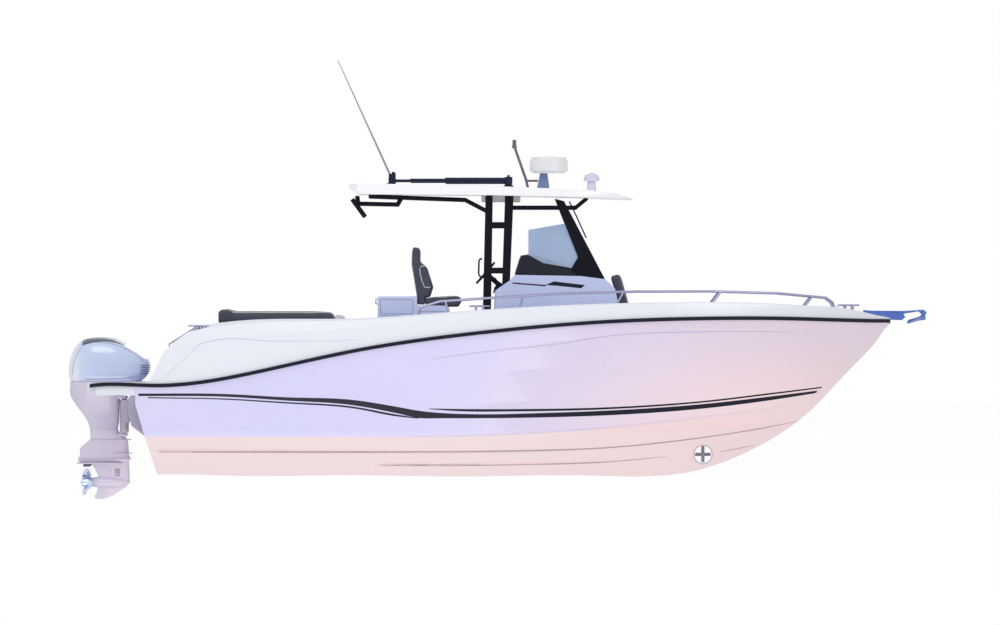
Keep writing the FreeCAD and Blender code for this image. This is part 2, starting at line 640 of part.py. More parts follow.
# Console: a hollow moulding open to the sole, with its door to port, the dash hood on top
console_corners = (
    ("ConsoleAft", "SoleTop"), ("ConsoleAft", "1496"), ("ConsoleAft + 12", "1706"),
    ("ConsoleAft + 196", "1833"), ("ConsoleAft + 252", "ConsoleBrow"),
    ("ConsoleFront - 461", "ConsoleBrow - 15"), ("ConsoleFront - 161", "ConsoleNose"),
    ("ConsoleFront - 43", "1735"), ("ConsoleFront", "1552"), ("ConsoleFront", "SoleTop"))
console_outside = soften(outline_body("console_outside", "XZ_Plane", console_corners, "2 * ConsoleHalf"),
                         "40", lambda e: runs_along(ALONG_Z)(e) and e.Length > 600)
inner_corners = (
    ("ConsoleAft + ConsoleWall", "SoleTop - 10"), ("ConsoleAft + ConsoleWall", "1690"),
    ("ConsoleAft + 196 + ConsoleWall", "1805"),
    ("ConsoleAft + 260 + ConsoleWall", "ConsoleBrow - ConsoleWall"),
    ("ConsoleFront - 461 - ConsoleWall", "ConsoleBrow - 15 - ConsoleWall"),
    ("ConsoleFront - 170 - ConsoleWall", "ConsoleNose - ConsoleWall"),
    ("ConsoleFront - 60 - ConsoleWall", "1710"), ("ConsoleFront - ConsoleWall", "1545"),
    ("ConsoleFront - ConsoleWall", "SoleTop - 10"))
console_inside = outline_body("console_inside", "XZ_Plane", inner_corners,
                              "2 * ConsoleHalf - 2 * ConsoleWall")
doorway = block("Doorway", ("DoorAft", "ConsoleHalf - 2 * ConsoleWall", "DoorFoot"),
                ("DoorFront", "ConsoleHalf + 20", "DoorHead"))
console_shell = cut("ConsoleShell", console_outside, console_inside)
door_hinge_x = size("DoorFront") - 3
door_hinge_y = size("ConsoleHalf") + 10
fixed_parts = []
door_parts = []
for low in (size("DoorFoot") + 110, size("DoorHead") - 180):
    ends = fixed_knuckle(Vector(door_hinge_x, door_hinge_y, low))
    for leaf_z in (low - 16, low + size("KnuckleHigh") + 4):
        ends = ends.fuse(Part.makeBox(34, 7, 12, Vector(door_hinge_x + 4, size("ConsoleHalf") - 1, leaf_z)))
    fixed_parts.append(ends)
    door_parts.append(moving_knuckle(Vector(door_hinge_x, door_hinge_y, low)).fuse(
        Part.makeBox(36, 6, size("KnuckleHigh"), Vector(door_hinge_x - 41, size("ConsoleHalf") - 1, low))))
piece(joined("console_joined", [cut("ConsoleOpen", console_shell, doorway),
                                feature("ConsoleHinges", Part.makeCompound(fixed_parts))]), "console")
door_panel = block("DoorPanel", ("DoorAft + LidGap", "ConsoleHalf - ConsoleWall", "DoorFoot + LidGap"),
                   ("DoorFront - LidGap", "ConsoleHalf", "DoorHead - LidGap"))
door_hinges = feature("DoorHinges", Part.makeCompound(door_parts))
piece(joined("door_joined", [door_panel, door_hinges]), "console_door")

piece(soften(outline_body("dash_hood", "XZ_Plane", (
    ("ConsoleAft + 252", "ConsoleBrow"), ("ConsoleAft + 324", "DashTop - 26"),
    ("ConsoleAft + 473", "DashTop"), ("ConsoleAft + 953", "DashTop - 180"),
    ("ConsoleFront - 461", "ConsoleBrow - 15")),
    "2 * DashHalf"), "40", lambda e: runs_along(ALONG_Z)(e) or (
        e.CenterOfMass.z > 2140 and runs_along(ALONG_Y)(e))), "dash_hood")

# Seat ahead of the console
piece(block("NoseSeatBase", ("ConsoleFront", "-NoseSeatHalf", "SoleTop"),
            ("NoseSeatFront", "NoseSeatHalf", "SeatTop")), "console_seat_base")
nose_cushion = soften(outline_body("nose_cushion", "XZ_Plane", (
    ("ConsoleFront + 8", "SeatTop + Seat"), ("ConsoleFront + 8", "SeatTop + SeatPad"),
    ("NoseSeatFront + 10", "SeatTop + SeatPad"), ("NoseSeatFront + 10", "SeatTop + Seat")),
    "2 * NoseSeatHalf"), "20", lambda e: e.CenterOfMass.z > size("SeatTop") + 60)
nose_back = soften(outline_body("nose_back", "XZ_Plane", (
    ("ConsoleFront + 4", "SeatTop + SeatPad + Seat"), ("ConsoleFront + 4", "1556"),
    ("ConsoleFront - 36", "1740"), ("ConsoleFront - 88", "1895"), ("ConsoleFront + 10", "1923"),
    ("ConsoleFront + 112", "1562"), ("ConsoleFront + 140", "SeatTop + SeatPad + Seat")),
    "2 * NoseSeatHalf - 40"), "25", lambda e: runs_along(ALONG_Y)(e) and e.CenterOfMass.x > 1480
    and e.CenterOfMass.z > 1500 or e.CenterOfMass.z > 1900)
grouped("ConsoleSeatCushions", [nose_cushion, nose_back], "console_seat_cushions")


def bow_seat(low, high, inset):
    """The bow seat in plan: inside the cockpit's walls, with a well for the legs."""
    front = size("CockpitFront") - inset
    aft = size("BowSeatAft") + inset
    port = [(x, cockpit_half(x) - 4 - inset) for x in (aft, 3100, front)]
    outer = prism(port + [(x, -y) for x, y in reversed(port)], low, high, ALONG_Z)
    wide = size("BowSeatWide") - 2 * inset
    inner = [(x, cockpit_half(x) - 4 - inset - wide) for x in (aft - 200, aft, 3000)]
    return outer.cut(prism(inner + [(x, -y) for x, y in reversed(inner)], low - 10, high + 10, ALONG_Z))


piece(feature("BowSeatBase", bow_seat(size("SoleTop"), size("SeatTop"), 0)), "bow_seat_base")
seat_soft = size("SeatTop") + size("Seat")
piece(feature("BowCushions", bow_seat(seat_soft, seat_soft + size("SeatPad"), 14)), "bow_cushions")


def tube(points, radius, closed=False):
    """A round tube along straight runs with mitred corners."""
    path = Part.makePolygon(points + points[:1] if closed else points)
    ring = Part.Wire(Part.makeCircle(radius, points[0], points[1] - points[0]))
    shell = Part.BRepOffsetAPI.MakePipeShell(path)
    shell.setTransitionMode(1)
    shell.add(ring)
    shell.build()
    shell.makeSolid()
    return shell.shape()


def side_points(rows, y):
    """Points in one upright plane along the boat from (x, z) pairs."""
    return [Vector(x, y, z) for x, z in rows]


def dash_line(x):
    """Height of the console's aft slope, where the forward legs stand on it."""
    aft = size("ConsoleAft")
    return 1706 + (x - aft - 12) * (1833 - 1706) / (196 - 12)


# Hardtop: its side profile and its plan, and the box for switches under it
side_profile = outline_body("hardtop_profile", "XZ_Plane", (
    ("TopAft", "TopHigh - 38"), ("TopAft + 30", "TopHigh"), ("-1160", "TopHigh - 5"), ("0", "TopHigh - 28"),
    ("1176", "TopHigh - 76"), ("TopFront - 190", "TopHigh - 125"), ("TopFront", "TopHigh - 185"),
    ("TopFront - 40", "TopHigh - 195"), ("1035", "FrameTop - 25"), ("0", "FrameTop"),
    ("TopAft + 130", "FrameTop + 12")), "2 * TopHalf + 20")
plan_profile = outline_body("hardtop_plan", "XY_Plane", (
    ("TopAft", "TopHalf - 170"), ("TopAft + 110", "TopHalf - 45"), ("-1000", "TopHalf"),
    ("700", "TopHalf"), ("1330", "TopHalf - 130"), ("TopFront - 90", "TopHalf - 400"),
    ("TopFront", "TopHalf - 720"), ("TopFront", "720 - TopHalf"), ("TopFront - 90", "400 - TopHalf"),
    ("1330", "130 - TopHalf"), ("700", "-TopHalf"), ("-1000", "-TopHalf"),
    ("TopAft + 110", "45 - TopHalf"), ("TopAft", "170 - TopHalf")), "2 * TopHigh + 180")
slab = document.addObject("Part::Common", "HardtopSlab")
slab.Base = side_profile
slab.Tool = plan_profile
pod = block("HardtopPod", ("-118", "-430", "FrameTop - 79"), ("360", "430", "FrameTop + 20"))
piece(joined("hardtop_joined", [slab, pod]), "hardtop")


def side_frame(side):
    """One side of the hardtop's frame: two legs, two rungs, the braces and the forward bar."""
    inner = side * size("FrameInner")
    outer = side * size("FrameOuter")
    middle = (inner + outer) / 2
    top = size("FrameTop")
    sole_top = size("SoleTop")
    # outlines in x, z of the legs and rungs
    plates = (
        ((-118, sole_top), (-12, sole_top), (22, top), (-67, top)),
        ((135, dash_line(135)), (233, dash_line(233)), (276, top - 6), (171, top - 5)),
        ((-40, 2471), (200, 2471), (200, 2544), (-40, 2544)),
        ((-60, 1917), (180, 1917), (180, 1988), (-60, 1988)),
    )
    # routes in x, z of the tubes
    radius = size("TubeRadius")
    aft = size("TopAft")
    routes = (
        ((aft + 247, top - 8), (-315, 2817), (-30, 2668)),
        ((aft + 105, top - 4), (aft + 115, 2771), (-1144, 2761), (-1088, top - 10)),
        ((230, 2722), (1035, 2722), (1176, top - 30)),
    )
    solid = prism(plates[0], inner, outer)
    for plate in plates[1:]:
        solid = solid.fuse(prism(plate, inner, outer))
    for route in routes:
        solid = solid.fuse(tube(side_points(route, middle), radius))
    return solid


document.recompute()
underside = slab.Shape.copy()
pillar = ((782, 2830), (894, 2800), (1393, 1846.9), (1095, 1884.5), (985, 1980), (1063, 2114))
pillars = [prism(pillar, side * size("FrameInner"), side * size("FrameOuter")).cut(underside)
           for side in (1, -1)]
frame_shape = Part.makeCompound([side_frame(side).cut([underside] + pillars) for side in (1, -1)])
piece(feature("HardtopFrame", frame_shape), "hardtop_frame")

# Rod holders in a row under the hardtop's aft edge, on one cross bar
rack_direction = Vector(-154, 0, 211)
rack_direction.normalize()
bar_x = size("TopAft") + 115
bar_z = 2771 - size("TubeRadius") - 19
rack_bar = Part.makeCylinder(19, 4 * size("RackPitch") + 120,
                             Vector(bar_x, -2 * size("RackPitch") - 60, bar_z), ALONG_Y)
rack_shape = rack_bar
holes = []
for i in range(-2, 3):
    foot = Vector(bar_x, i * size("RackPitch"), bar_z) - rack_direction * (size("RackLong") * 0.55)
    holder = Part.makeCylinder(size("RackRadius"), size("RackLong"), foot, rack_direction)
    rack_shape = rack_shape.fuse(holder)
    holes.append(Part.makeCylinder(size("RackBore"), size("RackLong"),
                                   foot + rack_direction * 20, rack_direction))
rack_shape = rack_shape.cut(holes)
piece(feature("RodHolders", rack_shape), "rod_holders")

# Windscreen: pillars on the console, front glass between them and the side glasses
sill_half = size("FrameInner")
glass_sill = prism(((1300, 1858.7), (1376, 1849), (1340, 1900), (1290, 1900)), -sill_half, sill_half)
windscreen_frame = pillars[0].fuse([pillars[1], glass_sill])
piece(feature("WindscreenFrame", windscreen_frame), "windscreen_frame")
glass = size("GlassThick")
front_glass = prism(((880, 2780), (880 + glass, 2780), (1340 + glass, 1901), (1340 - glass, 1901)),
                    -sill_half + 0.3, sill_half - 0.3)
front_glass = front_glass.cut([underside] + [
    tube(side_points(((230, 2722), (1035, 2722)), side * (size("FrameInner") + size("FrameOuter")) / 2),
         size("TubeRadius") + 0.5) for side in (1, -1)])
side_glass = ((458, 2451), (901.9, 2526), (1062.6, 2114), (984.3, 1981.5), (641, 2043), (458, 2143))
glass_middle = (size("FrameInner") + size("FrameOuter")) / 2
side_glasses = [prism(side_glass, side * (glass_middle - glass / 2), side * (glass_middle + glass / 2))
                .cut(windscreen_frame) for side in (1, -1)]
piece(feature("WindscreenGlass", front_glass), "windscreen_glass")
piece(feature("SideGlasses", Part.makeCompound(side_glasses)), "side_glasses")


def turned(profile, base, direction=ALONG_Z):
    """A round solid from (radius, height) pairs about an axis through base."""
    points = [Vector(r, 0, z) for r, z in profile]
    solid = Part.Face(Part.makePolygon(points + points[:1])).revolve(Vector(0, 0, 0), ALONG_Z, 360)
    solid.rotate(Vector(0, 0, 0), ALONG_Z.cross(direction) if direction != ALONG_Z else ALONG_Z,
                 math.degrees(ALONG_Z.getAngle(direction)) if direction != ALONG_Z else 0)
    solid.translate(base)
    return solid


hardtop_shape = slab.Shape.copy()

# Radar dome on its pedestal, small dome ahead of it, light mast with its all-round light
radar_x = 707
foot_z = surface_height(hardtop_shape, 640, 0)
dome_r = size("DomeRadius")
radar_shape = turned(((0, 3145), (dome_r - 40, 3145), (dome_r, 3175), (dome_r, 3290), (dome_r - 30, 3345),
                      (dome_r - 110, 3374), (0, 3380)), Vector(radar_x, 0, 0))
pedestal = prism(((560, foot_z - 12), (720, foot_z - 14), (690, 3145), (600, 3145)), -70, 70)
radar_shape = radar_shape.fuse(pedestal.cut(hardtop_shape))
piece(feature("Radar", radar_shape), "radar")
mast_foot = surface_height(hardtop_shape, 473, 0)
mast_shape = tube([Vector(452, 0, mast_foot + 0.5), Vector(430, 0, 3062), Vector(289, 0, 3464)], 17)
mast_shape = mast_shape.fuse(tube([Vector(440, 0, 3052), Vector(575, 0, 3052)], 14).cut(pedestal))
mast_shape = mast_shape.fuse(turned(((0, 3450), (30, 3450), (30, 3490), (24, 3495), (24, 3550), (0, 3562)),
                                    Vector(286, 0, 0)))
piece(feature("LightMast", mast_shape.cut(hardtop_shape)), "light_mast")
small_foot = surface_height(hardtop_shape, 1231, 0) - 12
piece(feature("SmallDome", turned(
    ((0, small_foot), (60, small_foot), (50, 3045), (98, 3050), (98, 3085), (75, 3130), (35, 3152),
     (0, 3155)),
    Vector(1231, 0, 0)).cut(hardtop_shape)), "small_dome")

# Outriggers folded along the top: pivot posts and cradles stay, the poles swing
pole_z = size("OutriggerZ")
pole_r = size("OutriggerRadius")
pivot_x = size("OutriggerX")
bases = []
for side, name in ((1, "port"), (-1, "starboard")):
    y = side * (size("TopHalf") - size("OutriggerInset"))
    pivot_foot = surface_height(hardtop_shape, pivot_x, y)
    cradle_foot = surface_height(hardtop_shape, -1192, y)
    bases.append(turned((
        (0, pivot_foot - 2), (62, pivot_foot - 2), (62, pivot_foot + 14), (45, pivot_foot + 24),
        (45, pole_z - pole_r - 12), (0, pole_z - pole_r - 12)), Vector(pivot_x, y, 0)))
    bases.append(turned(((0, pole_z - pole_r - 14), (16, pole_z - pole_r - 14), (16, pole_z + pole_r + 30),
                         (0, pole_z + pole_r + 30)), Vector(pivot_x, y, 0)))
    cradle_y = y - side * 26
    bases.append(prism(((-1212, cradle_foot - 3), (-1172, cradle_foot - 3), (-1172, 3155), (-1212, 3155)),
                       cradle_y - 8, cradle_y + 8))
    bases.append(Part.makeBox(60, 60, 6, Vector(-1222, cradle_y - 30, cradle_foot - 2)))
    head = Part.makeCylinder(48, 2 * pole_r + 14, Vector(pivot_x, y, pole_z - pole_r - 7), ALONG_Z)
    pole = head.fuse([
        Part.makeCylinder(pole_r, 784, Vector(pivot_x + 10, y, pole_z), ALONG_X * -1),
        Part.makeCylinder(pole_r * 0.62, 430, Vector(pivot_x - 770, y, pole_z), ALONG_X * -1),
        Part.makeCylinder(pole_r * 0.35, 220, Vector(pivot_x - 1195, y, pole_z), ALONG_X * -1),
    ])
    pole = pole.cut(Part.makeCylinder(16.08, 200, Vector(pivot_x, y, pole_z - 100), ALONG_Z))
    piece(feature(f"Outrigger{name.title()}", pole), f"{name}_outrigger")
base_shape = bases[0]
for solid in bases[1:]:
    base_shape = base_shape.fuse(solid)
piece(feature("OutriggerBases", base_shape.cut(hardtop_shape)), "outrigger_bases")

# Whip antenna leaning aft in its ratchet mount
antenna_y = size("AntennaInset") - size("TopHalf")
antenna_pin = Vector(size("AntennaX"), antenna_y, size("AntennaZ"))
antenna_foot = surface_height(hardtop_shape, size("AntennaX"), antenna_y)
mount_shape = turned(((0, antenna_foot - 2), (42, antenna_foot - 2), (42, antenna_foot + 12),
                      (22, antenna_foot + 20), (22, size("AntennaZ") - 34), (0, size("AntennaZ") - 34)),
                     Vector(size("AntennaX"), antenna_y, 0))
for cheek in (-22, 14):
    mount_shape = mount_shape.fuse(prism(
        ((size("AntennaX") - 18, size("AntennaZ") - 40), (size("AntennaX") + 18, size("AntennaZ") - 40),
         (size("AntennaX") + 18, size("AntennaZ") + 14), (size("AntennaX") - 18, size("AntennaZ") + 14)),
        antenna_y + cheek, antenna_y + cheek + 8))
mount_shape = mount_shape.fuse(Part.makeCylinder(5, 44, antenna_pin - ALONG_Y * 22, ALONG_Y))
piece(feature("AntennaMount", mount_shape.cut(hardtop_shape)), "antenna_mount")
lean = Vector(-641, 0, 1406)
lean.normalize()
whip = turned(((0, -14), (13, -14), (13, 200), (5, size("AntennaLong")), (0, size("AntennaLong"))),
              antenna_pin, lean)
whip = whip.cut(Part.makeCylinder(5.05, 60, antenna_pin - ALONG_Y * 30, ALONG_Y))
piece(feature("Antenna", whip), "antenna")

# Bow rail: a rail above the gunwale each side on raked stanchions
rail_radius = size("BowRailRadius")
# length, height of the rail; and the stanchions' tops and feet
RAIL_LINE = ((-860, 1500), (-625, 1574), (-175, 1606), (845, 1668), (1800, 1696), (2700, 1698), (3500, 1674),
             (4095, 1619), (4174, 1560))
STANCHIONS = ((-556, -520), (392, 350), (1611, 1539), (2805, 2705), (3924, 3839))
RAIL_INSET = 95


def rail_point(x, z, side):
    """A point of the bow rail over the gunwale."""
    return Vector(station_x(x), side * (lines_at(station_x(x), "gunwale_y") - RAIL_INSET), z)


def rail_height(x):
    """Height of the rail between the points of its line."""
    for (x0, z0), (x1, z1) in zip(RAIL_LINE, RAIL_LINE[1:]):
        if x <= x1:
            return z0 + (z1 - z0) * (x - x0) / (x1 - x0)


rails = []
for side in (1, -1):
    points = [rail_point(x, z, side) for x, z in RAIL_LINE]
    first = rail_point(-894, 0, side)
    last = rail_point(4190, 0, side)
    first.z = surface_height(deck_shape, first.x, first.y) + 0.5
    last.z = surface_height(deck_shape, last.x, last.y) + 0.5
    rail = tube([first] + points + [last], rail_radius)
    for top_x, foot_x in STANCHIONS:
        top = rail_point(top_x, rail_height(top_x), side)
        foot = rail_point(foot_x, 0, side)
        foot.z = surface_height(deck_shape, foot.x, foot.y) - 1
        rail = rail.fuse(Part.makeCylinder(rail_radius * 0.85, (top - foot).Length, foot, top - foot))
    bedding = deck_shape.copy()
    bedding.translate(Vector(0, 0, 0.6))
    rails.append(rail.cut(bedding))
piece(feature("BowRails", Part.makeCompound(rails)), "bow_rails")

# Cleats: two feet and a bar with horns; x, inset from the gunwale's edge
cleats = []
for side in (1, -1):
    for cleat_x, inset in ((4380, 150), (-140, 95), (-3560, 110)):
        x = station_x(cleat_x)
        y = side * (lines_at(x, "gunwale_y") - inset)
        top = surface_height(deck_shape, x, y)
        bar = Part.makeCylinder(11, 250, Vector(x - 125, y, top + 46), ALONG_X)
        for foot_x in (-45, 45):
            bar = bar.fuse(Part.makeCylinder(14, 60, Vector(x + foot_x, y, top - 12), ALONG_Z))
        cleats.append(bar.cut(deck_shape))
piece(feature("Cleats", Part.makeCompound(cleats)), "cleats")


# Helm wheel on its column, with three spokes, and the throttle beside it
wheel_centre = Vector(size("WheelX"), -size("WheelY"), size("WheelZ"))
slope = math.radians(size("WheelTilt"))
wheel_axis = Vector(-math.cos(slope), 0, math.sin(slope))
across = ALONG_Y
upward = wheel_axis.cross(across)
rim_points = [wheel_centre + across * (size("WheelRadius") * math.cos(math.radians(15 + 30 * i)))
              + upward * (size("WheelRadius") * math.sin(math.radians(15 + 30 * i))) for i in range(12)]
wheel_shape = tube(rim_points, 14, True)
for turn in (90, 210, 330):
    spoke = across * math.cos(math.radians(turn)) + upward * math.sin(math.radians(turn))
    wheel_shape = wheel_shape.fuse(Part.makeCylinder(
        9, size("WheelRadius"), wheel_centre - wheel_axis * 20,
        spoke * size("WheelRadius") + wheel_axis * 20))
wheel_shape = wheel_shape.fuse(Part.makeCylinder(32, 34, wheel_centre - wheel_axis * 40, wheel_axis))
wheel_shape = wheel_shape.fuse(Part.makeCylinder(11, 120, wheel_centre - wheel_axis * 150, wheel_axis))
piece(feature("HelmWheel", wheel_shape), "helm_wheel")
column = Part.makeCylinder(30, 235, wheel_centre - wheel_axis * 300, wheel_axis)
column = column.cut(Part.makeCylinder(11.08, 120, wheel_centre - wheel_axis * 155, wheel_axis))
document.recompute()
column = column.cut(console_outside.Shape)
piece(feature("HelmColumn", column), "helm_column")
lever_y = -size("WheelY") + 330
throttle = prism(((20, dash_line(49) - 40), (140, dash_line(140) - 6), (128, dash_line(128) + 50),
                  (40, dash_line(49) + 45)), lever_y - 45, lever_y + 45).cut(console_outside.Shape)
for lever in (-34, 22):
    throttle = throttle.fuse(prism((
        (60, dash_line(60) + 20), (90, dash_line(90) + 20), (62, 1862), (40, 1870)),
                                   lever_y + lever, lever_y + lever + 12))
piece(feature("Throttle", throttle), "throttle")

# Bow roller and anchor on the stem head
roller_foot = surface_height(deck_shape, station_x(4700), 0)
cheeks = []
for side in (1, -1):
    cheeks.append(prism(((4560, roller_foot - 30), (4880, roller_foot - 60), (5030, 1345), (5075, 1380),
                         (5050, 1430), (4940, 1440), (4560, roller_foot + 60)),
                        side * 42, side * 50))
roller_shape = Part.makeBox(340, 100, 10, Vector(4560, -50, roller_foot - 4)).fuse(cheeks)
roller_shape = roller_shape.fuse(Part.makeCylinder(30, 90, Vector(5015, -45, 1392), ALONG_Y))
roller_shape = roller_shape.cut(deck_full)
piece(feature("BowRoller", roller_shape), "bow_roller")
shank = prism(((4640, 1424), (5050, 1422.3), (5235, 1452), (5290, 1400), (5330, 1436), (5300, 1475),
               (5060, 1458), (4640, 1462)), -12, 12)
fluke = prism(((5300, 1475), (5338, 1440), (5290, 1344), (5180, 1340), (5090, 1312), (5115, 1352),
               (5215, 1378), (5262, 1400)), -16, 16)
blade = half_loft([
    Part.makePolygon([Vector(5100, -20, 1318), Vector(5100, 20, 1318), Vector(5100, 0, 1300),
                      Vector(5100, -20, 1318)]),
    Part.makePolygon([Vector(5240, -130, 1372), Vector(5240, 130, 1372), Vector(5240, 0, 1338),
                      Vector(5240, -130, 1372)]),
    Part.makePolygon([Vector(5325, -70, 1392), Vector(5325, 70, 1392), Vector(5325, 0, 1352),
                      Vector(5325, -70, 1392)]),
], True)
piece(feature("Anchor", shank.fuse([fluke, blade]).cut(roller_shape)), "anchor")

# Bow thruster: a gear leg across the tunnel's mouth and a propeller each side of it
tunnel_x = size("TunnelX")
tunnel_z = size("TunnelZ")
tunnel_r = size("TunnelRadius")
leg_shape = Part.makeCylinder(24, 90, Vector(tunnel_x, -45, tunnel_z), ALONG_Y)
leg_shape = leg_shape.fuse(Part.makeCylinder(16, tunnel_r + 10, Vector(tunnel_x, 0, tunnel_z), ALONG_Z))
leg_shape = leg_shape.cut(Part.makeCylinder(8.08, 120, Vector(tunnel_x, -60, tunnel_z), ALONG_Y))
piece(feature("ThrusterLeg", leg_shape.cut(hull_shape)), "thruster_leg")
thruster = Part.makeCylinder(8, 180, Vector(tunnel_x, -90, tunnel_z), ALONG_Y)
for side in (1, -1):
    hub_y = side * 75
    thruster = thruster.fuse(Part.makeCylinder(22, 40, Vector(tunnel_x, hub_y - 20, tunnel_z), ALONG_Y))
    for i in range(4):
        blade = Part.makeBox(tunnel_r - 24, 6, 44, Vector(14, -3, -22))
        blade.rotate(Vector(0, 0, 0), ALONG_X, 35 * side)
        blade.rotate(Vector(0, 0, 0), ALONG_Y, 90 * i)
        blade.translate(Vector(tunnel_x, hub_y, tunnel_z))
        thruster = thruster.fuse(blade)
piece(feature("ThrusterPropeller", thruster), "thruster_propeller")


def rounded_section(x0, x1, half, z, corner):
    """A level section of a cowl or leg: a rectangle with cut corners, narrower aft."""
    points = [(x1, half * 0.45), (x1 - corner, half * 0.86), (x1 - 2.4 * corner, half),
              (x0 + 2 * corner, half * 0.94),
              (x0 + 0.6 * corner, half * 0.72), (x0, half * 0.34)]
    ring = [Vector(x, y, z) for x, y in points] + [Vector(x, -y, z) for x, y in reversed(points)]
    return Part.makePolygon(ring + ring[:1])


def moved(shape, y):
    """A copy of an engine's piece moved to its own engine."""
    copy = shape.copy()
    copy.translate(Vector(0, y, 0))
    return copy


tilt_x = size("TiltX")
tilt_z = size("TiltZ")
steer_x = size("SteerX")
prop_z = size("PropZ")
aft = size("HullAft")

# Cowl sections: aft end, forward end, half width, height, corner
COWL = ((-5085, -4225, 215, 600, 60), (-5160, -4190, 268, 680, 80), (-5165, -4180, 275, 860, 90),
        (-5110, -4240, 262, 1020, 95), (-5000, -4420, 215, 1110, 90), (-4940, -4520, 150, 1139, 70))
cowl_shape = half_loft([rounded_section(x0, x1, half, z, corner) for x0, x1, half, z, corner in COWL], True)

# Leg: pan under the cowl, midsection, anti-ventilation plate, gearcase and skeg
LEG = ((-5085, -4225, 210, 599.7, 60), (-5095, -4240, 190, 470, 60), (-5110, -4545, 125, 390, 40),
       (-5010, -4560, 85, 200, 36), (-4909, -4575, 62, -110, 30), (-4960, -4520, 66, -330, 30))
leg_solid = half_loft([rounded_section(x0, x1, half, z, corner) for x0, x1, half, z, corner in LEG], True)
front_clear = Part.makeBox(700, 500, 420, Vector(-4545, -250, 80))
leg_solid = leg_solid.cut(front_clear)
leg_solid = leg_solid.cut(Part.makeCylinder(172, 600, Vector(tilt_x, -300, tilt_z), ALONG_Y))
plate_points = [(-5071, 60), (-5040, 125), (-4800, 130), (-4569, 60)]
plate = prism(plate_points + [(x, -y) for x, y in reversed(plate_points)], -412, -396, ALONG_Z)
lower = prism(((-4980, -330), (-4520, -330), (-4455, -560), (-4455, -640), (-4790, -640), (-4880, -480)),
              -30, 30)
torpedo = turned(((0, -4870), (56, -4870), (70, -4760), (72, -4620), (52, -4490), (22, -4440), (0, -4426)),
                 Vector(0, 0, prop_z), ALONG_X)
skeg = prism(((-4455, -630), (-4800, -690), (-4841, -835), (-4768, -843), (-4620, -790), (-4430, -640)),
             -9, 9)
leg_solid = leg_solid.fuse([plate, lower, torpedo, skeg])
shaft_bore = Part.makeCylinder(size("ShaftRadius") + 0.08, 150, Vector(-4880, 0, prop_z), ALONG_X)
leg_solid = leg_solid.cut(shaft_bore)

# Swivel bracket: a tube round the steering axis and an arm to the tilt tube
swivel = turned(((0, -30), (48, -30), (48, 372), (0, 372)), Vector(steer_x, 0, 0))
arm = prism(((steer_x, 150), (steer_x + 20, 366), (tilt_x - 58, 366), (tilt_x - 30, tilt_z + 25),
             (tilt_x + 20, tilt_z + 36), (tilt_x + 40, tilt_z - 10), (tilt_x - 20, tilt_z - 44),
             (steer_x + 50, 80)), -70, 70)
swivel = swivel.fuse(arm).fuse(Part.makeCylinder(40, 200, Vector(tilt_x, -100, tilt_z), ALONG_Y))
swivel = swivel.cut(Part.makeCylinder(22.08, 400, Vector(tilt_x, -200, tilt_z), ALONG_Y))
swivel = swivel.cut(Part.makeCylinder(24.08, 600, Vector(steer_x, 0, -100), ALONG_Z))

# Steering pivot: the pin through the swivel bracket and the yokes that carry the leg
pin = Part.makeCylinder(24, 470, Vector(steer_x, 0, -60), ALONG_Z)
upper_yoke = prism(((steer_x - 260, 382), (steer_x + 40, 382), (steer_x + 40, 420), (steer_x - 260, 420)),
                   -80, 80)
lower_yoke = prism(((steer_x - 130, -78), (steer_x + 40, -78), (steer_x + 40, -40), (steer_x - 130, -40)),
                   -55, 55)
leg_solid = leg_solid.fuse([pin, upper_yoke, lower_yoke])

# Clamp brackets: two cheeks outside the swivel bracket and the tilt tube through them
rake_slope = size("TransomRun") / (318 + 556)
cheek = ((aft + (318 + 88) * rake_slope - 0.3, -88), (aft - 0.3, 318), (aft - 0.3, size("TransomTop") + 0.3),
         (aft + 85, size("TransomTop") + 0.3), (aft + 85, size("TransomTop") + 30),
         (tilt_x + 50, tilt_z + 45), (tilt_x - 50, tilt_z + 45), (aft - 110, tilt_z - 20),
         (aft - 105, 200), (aft - 70, 60))
clamp = prism(cheek, 108, 138).fuse(prism(cheek, -138, -108))
clamp = clamp.fuse(Part.makeCylinder(22, 290, Vector(tilt_x, -145, tilt_z), ALONG_Y))
clamps = []
for name, side in (("port", 1), ("starboard", -1)):
    y = side * size("EngineY")
    piece(feature(f"Cowl{name.title()}", moved(cowl_shape, y)), f"{name}_engine_cowl")
    piece(feature(f"Leg{name.title()}", moved(leg_solid, y)), f"{name}_engine_leg")
    piece(feature(f"Swivel{name.title()}", moved(swivel, y)), f"{name}_swivel_bracket")
    clamps.append(moved(clamp, y))
piece(feature("ClampBrackets", Part.makeCompound(clamps)), "clamp_brackets")

# Propellers: three swept blades on a hub that carries its shaft
hub = turned(((0, -5030), (40, -5030), (56, -4985), (58, -4874), (0, -4874)), Vector(0, 0, prop_z), ALONG_X)
hub = hub.fuse(Part.makeCylinder(size("ShaftRadius"), 130, Vector(-4880, 0, prop_z), ALONG_X))


def blade_section(radius, chord, pitch, thick, rake_x):
    """A flat-sided section of a blade at one radius, turned to its pitch."""
    half = chord / 2
    points = []
    for a, b in ((-half, 0), (0, -thick / 2), (half, 0), (0, thick / 2)):
        along = a * math.cos(math.radians(pitch)) - b * math.sin(math.radians(pitch))
        round_ = a * math.sin(math.radians(pitch)) + b * math.cos(math.radians(pitch))
        points.append(Vector(along + rake_x, round_, radius))
    return Part.makePolygon(points + points[:1])


